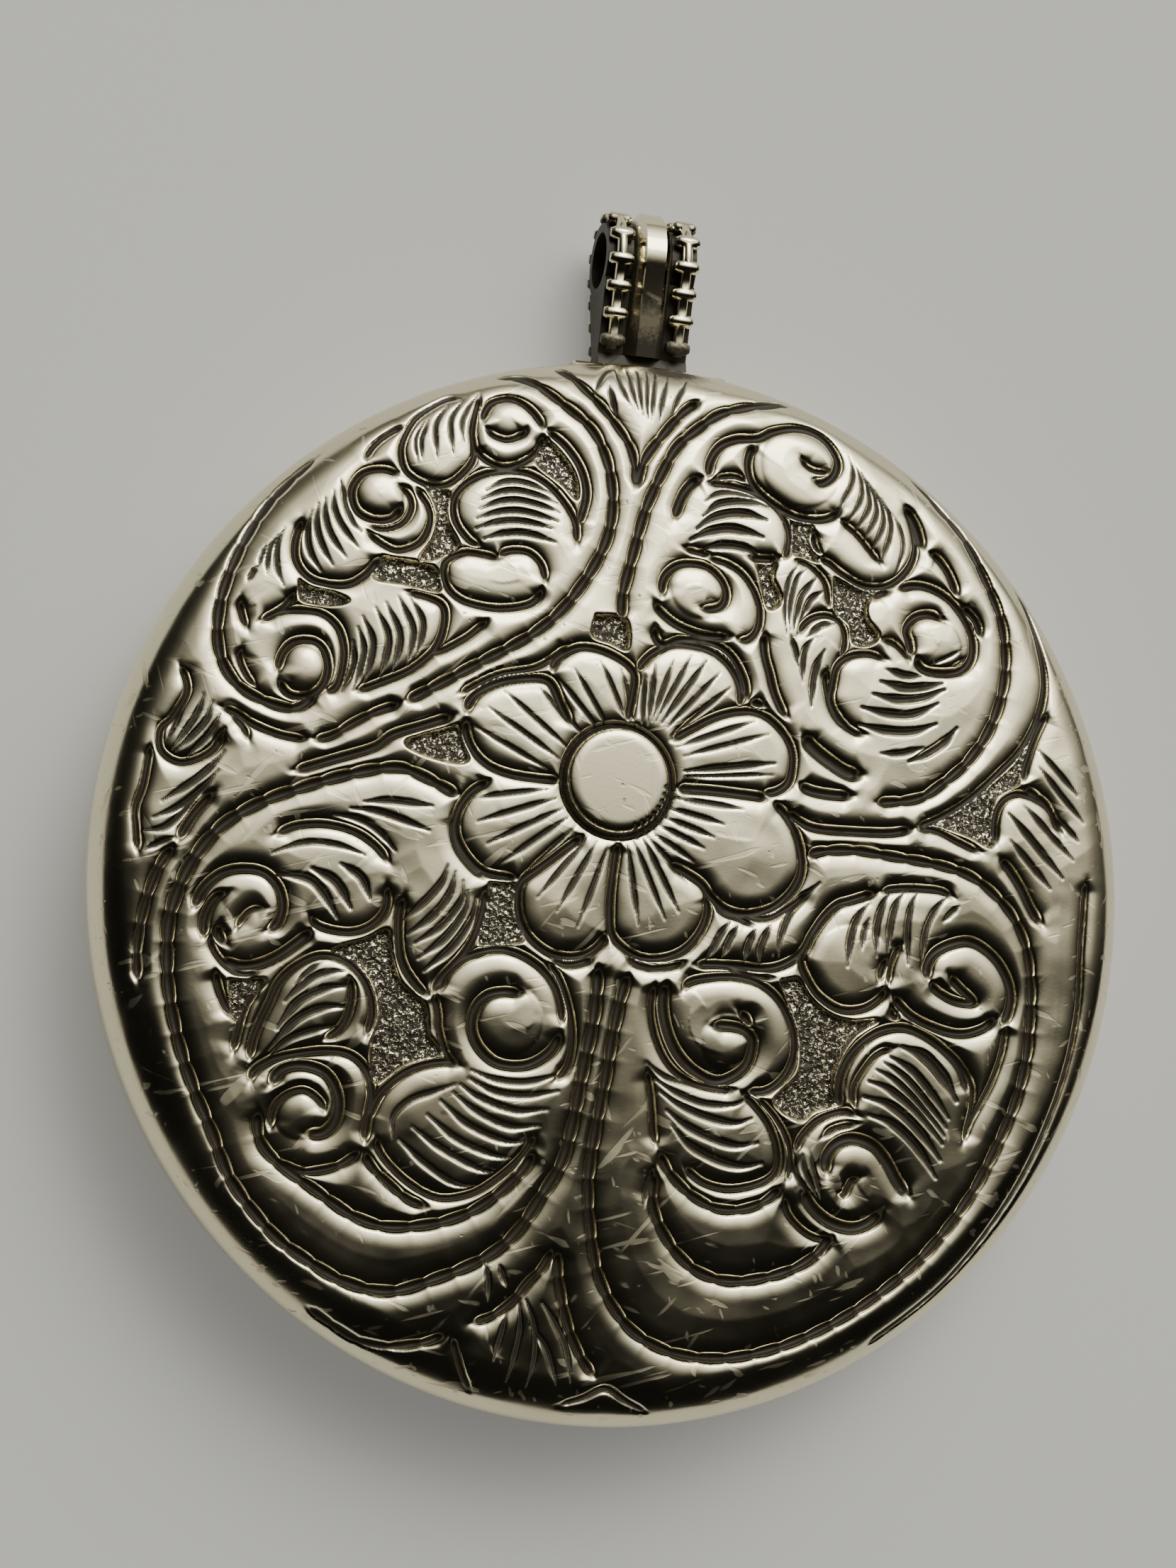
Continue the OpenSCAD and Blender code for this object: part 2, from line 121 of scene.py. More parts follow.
# The cover's grid: the share of its cells, and of the shoulder's arc, that the fine part takes up.
FINE_CELLS = 0.96
FINE_SHOULDER = 0.45
COARSENESS = 10
INNER_PATINA = 0.1

# chased lines worked with a short punch: width mm, points
PUNCHED = [
    # upper left frame
    (.5, "-12,24.35 -14,23.25 -16,21.8 -17.8,19.6 -19.8,17 -21.2,14 -21.75,11.5 -21.5,9.3 -20.3,7.8 "
         "-18,7.1 -16.7,8"),
    (.5, "-12,24.35 -10,25.1 -7.3,25 -5.2,23.8 -3.5,22.4 -2.6,20 -2.7,17.2 -4.1,14.3 -6.1,12 -9.6,9.7 "
         "-12.6,7.8"),
    (.4, "-17,5.6 -16,5.9 -15,6.6 -14,7.2 -12.6,7.8"),
    # upper right frame
    (.5, "7.9,25.9 6,25.3 4.2,24.8 3,24.3 1.9,23.4 .8,22.3 -.1,20.5 -.8,18.7 -1.3,16.6 -1.8,14.3 "
         "-1.8,12.8"),
    (.5, "7.9,25.9 10.5,25 12.6,23.7 14.3,22.3 15.6,20.8 16.9,19.4 18.1,17.3 19,15.3 19.35,13.3 "
         "19.2,11.3 18.5,9.2 17.3,7.4 16,6.2 14.5,5.2 12,4.75"),
    # lower left frame
    (.55, "-9.5,3.4 -11.5,4.3 -12.8,4.6 -15,4.1 -17.2,3.3 -19.2,2.4 -21,1.1 -22.3,-.8 -23,-3 -23.05,-5 "
          "-22.8,-7 -22.2,-9.2 -21.4,-11.2 -20.4,-13.2 -19.3,-15.5 -17.3,-17.8 -15.6,-19 -13.7,-20 "
          "-11.5,-20.4 -9.2,-19.7 -7,-18.7 -5.6,-17.5 -4.5,-15.8 -3.5,-14 -3.05,-12 -2.7,-9.5 -2.3,-7 "
          "-2.2,-5 -2.3,-4.3"),
    (.5, "-18.3,-12 -18.2,-13.3 -17.4,-14.4 -15,-16 -13.5,-16.9 -12,-17.35 -10.5,-17.3 -9,-17 "
         "-7.6,-16.4 -6.3,-15.4 -5.3,-14.3 -4.9,-13.4"),
    (.4, "-13.2,-13.7 -12.8,-14.5 -11.8,-15.4 -10.8,-16.1 -9.8,-16.4"),
    (.4, "-13.2,-13.7 -14,-14.4 -15,-14.8 -16.2,-14.9 -17.4,-14.4"),
    (.4, "-23,.2 -23.7,-.9 -24.2,-2.6 -24.45,-4.6 -24.3,-6.6"),
    (.45, "-8.5,-22.3 -9.6,-22.75 -11.3,-23 -12.8,-22.75 -14,-22.1 -15.4,-21.2"),
    # lower right frame
    (.5, "8.4,1.5 9,2 11,2.25 13,2.1 16,1.8 18,1.2 19.8,-.2 20.8,-1.8 21.2,-3.5 21.3,-5.5 21.1,-8 "
         "20.5,-10.3 19.4,-12.8 18.2,-15 16.5,-17.2 14.8,-18.9 12.5,-20.6 10.2,-21.9 8,-22.75 "
         "5.5,-23.25 3,-23.1 1,-22.3 -.3,-21.1 -1.3,-19.4 -1.8,-17.5 -2.1,-15 -1.9,-12.5 -1.55,-10 "
         "-1.25,-7.5 -.9,-5.6 -.6,-4.6"),
    (.5, "1.2,-14.2 1.2,-15.8 1.7,-17 2.6,-18.2 3.8,-19.1 5.3,-19.5 7,-19.35 8.6,-18.9 9.8,-18.2 "
         "10.9,-17"),
    (.45, "1.3,-13.2 1.9,-14.2 2.7,-15 3.6,-15.6 4.7,-16 6,-15.95 7.1,-15.5 8,-14.7"),
    # right of the bottom fan, and the groove that runs up between the lower frames
    (.45, "-1.1,-24.4 -2,-23.2 -2.6,-22 -3,-20.8 -3.3,-19.5 -3.5,-18.1"),
    (.4, "-7.6,-21.8 -6.6,-21.5 -5.6,-20.8 -4.8,-19.8 -4.1,-19 -3.6,-18"),
    # rosette and the arms of the V at the top
    (.45, "-1.35,19.7 -1.4,21 -1.8,22.2 -3,23.7 -4.6,25.2 -5.8,26.2"),
    (.45, "-1.35,19.7 -.9,21.4 0,22.8 1.1,24.2 2.1,25"),
    (.4, "20.4,6.25 21.2,6 21.9,5.5 22.4,4.7 22.8,3.8"),
]

# outlines cut with a smooth liner: width mm, points
OUTLINES = [
    # line along the rim on the right
    (.3, "13,-22.6 17.3,-19.2 20.8,-14.6 23,-9.8 24,-5.5 24.1,-2.1 24.3,1.7"),
    # border side of the upper right and lower right frames
    (.45, "14.3,3.6 16,4.4 17.6,5.5 19,6.8 20.4,8.3 21.3,10 21.7,12 21.4,14 20.7,16.3 19.6,18.4 "
          "18.2,20.3"),
    (.4, "14.3,3.6 15.6,3.6 16.9,3.1 18.2,2.6"), (.6, "19.1,2.5 19.8,1.9 20.5,1 21.1,0 21.8,-1"),
    # groove between the upper right and the lower right frame
    (.5, "7.2,4.1 8,3.5 9,3.2 11,3.2 13,3.3 14.3,3.6"), (.6, "7.7,5.4 8.6,5.1 9.6,5 10.9,5"),
    (.9, "7.9,8 8.6,7.3 9.5,6.7 10.5,6.2 11.4,6.1"),
    # upper left: lower edge of the band
    (.4, "-21.5,6.9 -20.7,6.7 -19.8,6.2 -18.6,5.8 -17.5,5.65 -17,5.7"),
    (.45, "-21.3,2.9 -22.3,1.6 -23,.2"), (.5, "-10,7.4 -11.5,6.8 -13,6.2 -13.9,5.5 -16,4.7 -17.8,4"),
    (.35, "-4.3,11.5 -6,10.2 -8,9.6 -10,8.4"),
    # leaf 1, upper left
    (.35, "-10.3,23.55 -11.1,23.5 -12,22.9 -12.8,22.1 -13.3,21 -13.35,20.2 -13,19.4 -12,18.9 -11,19 "
          "-10.2,19.7 -9.7,20.6 -9.85,22 -9.5,23.95"),
    (.35, "-13.05,21.9 -14,21.3 -14.8,20.5 -15.2,19.6"),
    # scroll 2, upper left
    (.4, "-13.2,19.2 -14.2,19.4 -15.2,19.1 -15.7,18.2 -15.4,17.2 -14.5,16.8 -13.6,17 -13.1,17.8"),
    (.35, "-12.7,18.8 -11.9,17.8 -11.75,16.9 -12.2,15.9 -13.2,15.4 -14,15.6 -15,16.25"),
    (.3, "-13.6,18.7 -12.9,18.3 -12.7,17.6 -13.1,16.8 -14,16.4 -15,16.5"),
    # leaf 2
    (.4, "-18,16.6 -18.3,15.2 -18.1,14.2 -17.3,13.5 -15.8,13.4 -14.8,14 -14,15.1"),
    # leaf 3 and scroll 4
    (.35, "-18.1,13 -18.5,12.2 -19.2,11.6 -19.9,11.1"), (.35, "-20.7,12.4 -20.7,11.7 -20.3,10.6"),
    (.4, "-19.9,11.1 -19,11.7 -18,11.95 -16.9,11.9 -16.1,11.4 -15.7,10.6 -15.6,9.6 -15.9,8.3 -16.7,8"),
    (.4, "-18.8,8.6 -18.6,9.7 -18.1,10.35 -17.2,10.5 -16.6,10.1 -16.35,9.2 -16.6,8.3 -17.3,7.75 "
         "-18.2,7.8 -18.8,8.6"),
    (.3, "-20.5,10 -20.6,9.3 -20.2,8.5 -19.6,7.8"),
    # leaf 5
    (.4, "-12.9,13.3 -11.8,13.2 -10.9,12.8 -10.8,11.8 -11.2,10.6 -12.3,9.5 -13.6,8.8 -15.1,8.1"),
    (.35, "-8.5,12.4 -9.7,11.3 -11,10.5 -11.8,10.3"),
    # scroll 1
    (.45, "-9.4,22.2 -9.3,22.8 -8.9,23.5 -8,23.8 -7.2,23.55 -6.5,22.9 -6.2,22.2"),
    (.4, "-9.85,21.4 -9.3,20.6 -8.3,20.2 -7.3,20.5 -6.5,21.2 -6.2,22.2"),
    (.35, "-9.35,22.15 -8.7,21.75 -8,21.65 -7.3,22 -7,22.45"),
    # leaf 4
    (.4, "-4.3,16.4 -4.4,17.7 -5,18.7 -5.8,19.5 -6.8,20 -7.8,20.05 -9,19.8 -10,19.2 -10.6,18.3 "
         "-10.5,17.2 -9.8,16.3 -9,15.9"),
    # scroll 3
    (.4, "-8,15.4 -9,15.6 -10,15.6 -10.9,15 -10.8,13.9 -10,13.2 -8.5,12.95 -7.2,13.1 -6.3,13.5 "
         "-5.9,14.3"),
    (.4, "-8.3,15.3 -8,15.8 -7.3,16 -6.6,15.9 -6,15.3 -5.8,14.3"),
    # inner edge of the upper left band
    (.45, "-6.2,22.4 -5.2,21.8 -4.4,20.9 -4,20 -3.9,19 -4.3,17.4"),
    # left leaves outside the frames
    (.35, "-23.5,8.9 -23.1,8.2 -23,7.4 -23.6,6.2 -24.1,5.6 -24,4.6 -23.2,4.1 -22.3,4.3 -21.5,4.9 "
          "-21.1,5.8"),
    (.35, "-24.5,5 -24.7,3 -25,1.8 -24.9,.8 -24.7,-.5"), (.3, "-21,6.7 -20.2,6 -19.9,5.2"),
    # upper right: crescent beside the band, leaf 20
    (.55, "2.3,20.8 1.8,20.6 1.3,20 1,19.3 .7,18.3"),
    (.4, "2.3,20.5 3,20.6 4,20.6 5,20.4 6,19.9 6.7,19.2 7,18.3 6.9,17.4 6.5,16.9"),
    (.5, "6.6,17 5.5,16.9 4.6,16.9"), (.35, "1.1,17 2,16.9 3,16.7"),
    # scroll 7
    (.45, ".2,14.2 .3,15.3 .9,16 1.8,16.25 2.7,16.1 3.4,15.5 3.65,14.8 3.4,14.2 2.7,13.95 2.1,14"),
    (.4, "2.4,16.6 3.5,16.5 4.5,16 5.2,15.1 5.5,14.2 5.4,13.2 4.9,12.6 4.1,12.5"),
    (.5, "-.3,14.1 .3,13.5 1.2,12.95 2.5,12.6 4.1,12.6"),
    # scroll 6
    (.5, "2.5,20.7 2.6,21.7 3.1,22.6 4,23.1 5.2,23.3 6,23.75 7.2,24.1 8.3,24 9.1,23.5 9.6,22.6 "
         "9.4,21.8 8.7,21.3 8,21.5"),
    (.45, "5.2,23.1 4.75,22.5 4.65,21.7 4.9,20.9 5.5,20.3 6.3,19.8 7.2,19.4 8.2,19.3 9.2,19.5 "
          "9.9,20.1"),
    (.3, "7.3,22.6 8,22 8.8,21.9 9.4,21.95"), (.35, "2.7,20.7 3.3,21 4.1,21.1 4.8,20.7"),
    # leaf 23
    (.4, "13.3,20.8 13.8,19.8 14.05,18.7 13.9,17.7 13.3,16.8 12.4,16.2 11.2,16.1 10,16.6 9.2,17.1 "
         "8.4,17.3"),
    (.35, "9.6,19.5 10.6,18.9 11.5,18 12.2,17.2"), (.35, "8.3,18.9 8.4,18 8.9,17.3"),
    (.6, "13.4,20.7 14,19.8 14.3,19 14.45,18.2"),
    (.5, "14.7,18.2 15.3,18.05 15.9,17.4 16.3,16.6 16.5,15.9"),
    (.5, "16.6,15.6 17.2,15.3 17.7,14.7 17.85,13.8"),
    # scroll 9
    (.5, "12.9,16.05 14,16.4 15,16.35 16,15.9 16.9,15 17.4,14 17.4,12.9 16.8,12.15 15.7,11.9 14.6,12 "
         "14,12.7"),
    (.4, "12.9,16.05 12,15.7 11.6,15.2"),
    (.5, "15.8,14.6 15,14.95 14.1,14.7 13.6,14 13.8,13.3 13.9,12.4"),
    (.35, "12,13.3 12.9,13.2 13.6,12.6 13.8,12.1"),
    # leaf 24
    (.4, "12.6,12.2 11.6,12.5 10.5,12.3 9.8,11.7 9.6,10.8 9.5,9.9 10,9 10.7,8.4 11.5,8.2"),
    (.35, "9.2,11.6 9.2,10.6 9.6,9.3 10.5,8.25"),
    # leaf 21 and the ball beside it
    (.35, "7.1,16.95 8,16.9 8.9,16.2 9.2,15.4 9.2,14.5"),
    (.35, "7.5,13 8.1,13.9 9,14.3 9.8,14.1 10.2,13.4 10.1,12.5 9.7,12.1"),
    # inner edge of the upper right band, lower part
    (.5, "5.7,13.2 5.8,12 6.1,11 6.4,10 6.9,9 7.2,8.6"),
    (.45, "-.1,13 0,12.2 .5,11.9 1.3,12.25 2.4,12.3 3.4,12.1 4.2,11.5 4.8,10.4 4.9,9.3"),
    (.5, "4.9,9.2 5.5,9.35 6.1,9.1"),
    # right leaves outside the frames
    (.4, "18.9,3 18.95,4.5 19.3,5.4 20.1,5.9 21,5.8 22,5.3 22.7,4.3"),
    (.35, "21.9,10.5 21.2,9 20.7,7.6 20.4,6.4"),
    # rosette petals
    (.5, "-9.5,7.4 -9.3,8.2 -8.7,8.8 -7.7,9.3 -6.6,9.55 -5.7,9.6 -5.2,9.3 -4.7,8.3 -4.1,7.3"),
    (.45, "-9.5,7.4 -9.4,6.5 -8.9,5.6 -8.1,5 -7,4.7 -5.6,4.6 -4.4,4.6"),
    (.45, "-5.3,9.8 -5.1,10.6 -4.2,11.25 -3.4,11.4 -2.4,11.2 -1.4,10.7 -1,10.1 -1.1,9 -1.35,7.6"),
    (.45, "-1,10.2 -.6,10.9 0,11.5 .9,11.95 2,12 3,11.8 3.9,11.2 4.45,10.4 4.6,9.6 4.4,8.9"),
    (.45, ".9,7 2,7.7 3.2,8.4 4.3,8.8 5.3,8.9 6.2,8.6 7,7.9 7.45,7.1 7.5,6.2 7.3,5.4 6.6,4.9 5.7,4.75"),
    (.55, "1.2,4.65 3,4.7 4.6,4.65 6.4,4.55"),
    (.5, "6.4,4.45 7.2,3.8 7.8,2.9 8.15,1.8 8.15,.8 7.7,-.1 7,-.8 6.2,-1.2 5.2,-1.4 4.2,-1.2 3.4,-.6 "
         "2.9,0 2,.5 1,.9"),
    (.45, "3.1,-.3 3.3,-1.4 2.9,-2.5 2.1,-3.4 1,-3.85 -.1,-3.85 -1.1,-3.35 -1.65,-2.6 -1.75,-1 "
          "-1.65,.5 -1.5,1.9"),
    (.45, "-1.7,-2.6 -2.3,-3.5 -3.2,-4 -4.4,-4 -5.4,-3.5 -6.1,-2.7 -6.4,-1.7 -6.3,-.6 -5.4,.2 -4.2,1.2 "
          "-3.2,2"),
    (.45, "-6.3,-.4 -7,-.35 -8.2,-.15 -9.1,.6 -9.65,1.6 -9.6,2.7 -9,3.7 -8,4.4"),
    # lower left: leaves 10 to 12 and the scroll at the left
    (.4, "-18.5,.8 -17.5,1.4 -16,1.6 -14.5,1.3 -13.4,.6 -12.8,-.2"),
    (.4, "-9.9,2.7 -9.8,1.7 -9.5,.8 -8.8,0 -8,-.6"),
    (.5, "-22,-3 -21.6,-1.9 -20.8,-1.1 -19.8,-.8 -18.8,-.9 -18.1,-1.5 -17.8,-2.4 -18,-3.3 -18.6,-3.8"),
    (.45, "-21.4,-4.4 -21.4,-3.2 -21,-2.3 -20.3,-1.9"), (.5, "-20.7,-3.3 -20.7,-4 -20.2,-4.6"),
    (.25, "-18.4,-2.6 -19.2,-2.7 -19.7,-3.2 -20,-3.9"),
    (.55, "-20.6,-5 -19.8,-5.4 -18.8,-5.3 -17.8,-4.8 -16.8,-4 -16.2,-3.4"),
    (.3, "-21.2,-3.9 -20.9,-4.7 -20.3,-5.4 -19.5,-5.8 -18.5,-5.6"),
    (.4, "-12.9,-1 -12.85,-2.2 -13.5,-3.1 -14.6,-3.5 -16,-3.3 -16.6,-2.7"),
    (.4, "-20.8,-5.5 -20.5,-6.6 -19.8,-8"), (.35, "-19.7,-9.7 -19.5,-8.5 -19.2,-7.2 -18.6,-6.3"),
    # leaf 13
    (.4, "-18.9,-10 -18.7,-8.6 -18.1,-7 -17.7,-6 -16.9,-5.2 -15.9,-4.7 -14.9,-4.8 -14,-5.4 -13.4,-6.3 "
         "-13.2,-7.4 -13.5,-8.6"),
    (.4, "-14.5,-5.4 -14.25,-6.4 -14.4,-7.5 -14.8,-8.2 -15.6,-8.8"),
    # scroll 12
    (.6, "-17.9,-11.1 -17.3,-10.2 -16.3,-9.95 -15.2,-10.3 -14.6,-11.3 -14.6,-12.4 -15.2,-13.1 "
         "-16.2,-13.1"),
    (.35, "-17.7,-13.2 -17.6,-12.1 -17.1,-11.4 -16.2,-11.1 -15.4,-11.6 -15.1,-12.3"),
    (.45, "-18.8,-11 -18.6,-10.3 -17.7,-9.7 -16.6,-9.4 -15.3,-9.2 -14.2,-9.3 -13.4,-9.9 -13,-11 "
          "-13.1,-12.2 -13.2,-13.6"),
    # leaf 14
    (.45, "-12,-1.5 -12.2,-2.5 -12.1,-4 -11.8,-5 -11,-6 -10.4,-6.4"),
    (.45, "-8,-.8 -8.1,-2 -8.5,-3.4 -9,-4.3 -10,-5.5 -10.4,-6.4"),
    # scroll 13
    (.45, "-10.1,-6.3 -9.8,-5.3 -9,-4.5 -8,-4.05 -7,-3.9 -6,-4.15 -5,-4.75 -4.3,-5.6 -3.95,-6.6 "
          "-3.9,-7.5"),
    (.55, "-3.9,-7.6 -4.3,-8.6 -5.2,-9.3 -6.2,-9.5 -7.2,-9.3 -8,-8.6 -8.35,-7.7 -8.2,-6.8 -7.7,-6.2 "
          "-6.9,-5.95 -5.8,-6"),
    (.35, "-10.3,-6 -10,-7.2 -9.9,-8 -9.4,-9.2 -8.7,-9.7"),
    # leaf 15
    (.45, "-13.2,-12.6 -12.5,-11 -11.2,-9.9 -9.6,-9.45 -8.7,-9.65"),
    (.35, "-12.7,-13 -12.3,-14 -11,-15.2 -9.5,-15.9 -8,-15.7 -6.8,-15 -5.6,-13.9 -4.8,-12.6"),
    (.35, "-4.9,-4.3 -4.2,-5 -3.6,-6.4 -3.3,-8 -3.5,-9.4 -4.2,-10.2"),
    (.4, "-4.8,-4.1 -3.9,-4.45 -3,-4.3 -2.3,-3.9"), (.4, "-1,-3.7 -.3,-4.2 .6,-4.35 1.6,-4.2 2.4,-3.9"),
    # bottom fan leaf
    (.4, "-8.4,-22.3 -8.1,-23.2 -7.7,-24.2 -7.1,-25.2"),
    (.35, "-3,-25.7 -1.7,-25.3 -.6,-24.8 .5,-25.4 1.8,-26"),
    # lower right: groove under petal 5, leaf 25
    (.4, "3.4,-.8 4.2,-1.4 5,-1.6 5.9,-2"), (.35, "5,-1.5 6,-1.55 6.8,-1.4 8,-.6 8.7,.1"),
    (.5, "2.6,-4.1 3.6,-4 5,-4 6.4,-4.05 7.5,-3.75 8.4,-3.1 8.9,-2.2 9.5,-1.3 10.2,-.6 11,-.3 12.4,.2"),
    (.4, "12.4,.2 13.4,.45 14.6,.55 16,.5 16.7,.1"), (.35, "4,-3.8 5,-4.25 6,-4.45 7.1,-4.5"),
    # ball leaf 26
    (.45, "8.7,-2.7 8.35,-3.5 8.8,-4.5 9.5,-5.3 10.6,-5.85 11.8,-5.75 12.7,-5.2 13.1,-4.5"),
    # scroll 14
    (.45, "2.1,-5.5 2.5,-4.95 3.6,-4.65 5,-4.55 6.3,-4.85 7.4,-5.7 8.1,-7 8.2,-8.3 7.7,-9.4 6.8,-10.1 "
          "5.6,-10.2"),
    (.6, "1.3,-4.9 1.2,-6.1 1.5,-7.4 2.1,-8.5 3,-9.3 4.1,-9.75 5,-9.5 5.7,-8.9 5.95,-8.1 5.9,-7.5 "
         "5.3,-7.1 4.4,-7 3.6,-7.1"),
    (.35, ".7,-5 .6,-6.5 1,-8 1.8,-9.2 3,-9.9 4.4,-10.15 5.3,-10.1"), (.5, "5.9,-7.2 5.6,-6.6 5,-6.1"),
    # leaf 27
    (.4, "5.4,-10.2 6.2,-10.8 7,-11.7 7.5,-12.8 7.6,-13.8 7.2,-14.4 6.3,-14.8 5,-15 3.7,-14.7 "
         "2.6,-13.9"),
    (.35, ".5,-9.2 .8,-10.6 1,-12 1.2,-13.2"), (.3, "6.2,-10.3 7.3,-11.3 8.1,-12.5 8.3,-13.8 8,-14.7"),
    (.35, "1.2,-13.9 .95,-15 .75,-16"),
    # scroll 15
    (.4, "8.4,-13.3 8.8,-12.3 9.7,-11.4 11,-10.95 11.9,-11.2"), (.3, "9.7,-12.4 10.6,-11.8 11.9,-11.5"),
    (.7, "10.2,-14.3 10.2,-13.3 10.7,-12.6 11.6,-12.3 12.7,-12.6 13.5,-13.4 14.1,-14.3 14.8,-15.2"),
    (.35, "10.7,-14.9 11.2,-15.1 11.6,-14.4 12.2,-14.1"),
    (.7, "8.9,-14.8 9.6,-15.8 10.6,-16.5 11.8,-16.75 12.8,-16.4 13.4,-15.7"),
    (.35, "8,-15.1 8.3,-16.1 9.1,-16.9 10,-17.3 10.9,-17.2"),
    # leaf 28
    (.5, "10.9,-11 10.7,-10 10.9,-8.8 11.6,-7.7 12.7,-6.9 14,-6.6 15.2,-6.9 16.4,-7.6 17.4,-8.6 "
         "17.9,-9.9"),
    (.3, "11.6,-11 11.5,-9.8 12,-8.8 12.7,-8 13.7,-7.6"),
    # scroll 16
    (.6, "15.3,-4.3 15.3,-3.4 15.7,-2.7 16.6,-2.2 17.7,-2 18.8,-2.5 19.6,-3.3 20.1,-4.4 20,-5.5 "
         "19.5,-6.3"),
    (.5, "13.3,-4.9 14.4,-5.9 15.8,-6.5 17.3,-6.75 18.6,-6.4 19.4,-5.7"),
    (.5, "16.4,-3.7 17.2,-4.4 18,-5.1 17,-5.1 16,-4.7 15.3,-4.1"),
    (.3, "15,-6.9 16.2,-7.4 17.2,-8.1 18,-9.2 18.1,-10.3 17.7,-12.3"),
    (.45, "13.1,-2.9 12.8,-3.6 12.5,-4.5"), (.3, "13.1,-4.7 13.2,-3.7 13.5,-2.8 13.9,-2.2"),
    (.3, "19.9,-6 19.7,-7.5 19.2,-9 18.6,-10.2 18,-11.3 17.6,-12.4"),
    (.35, "13.2,-5.4 13.6,-6.1 13.8,-5.6"), (.35, "14.4,-6.2 14.9,-7.1"),
]

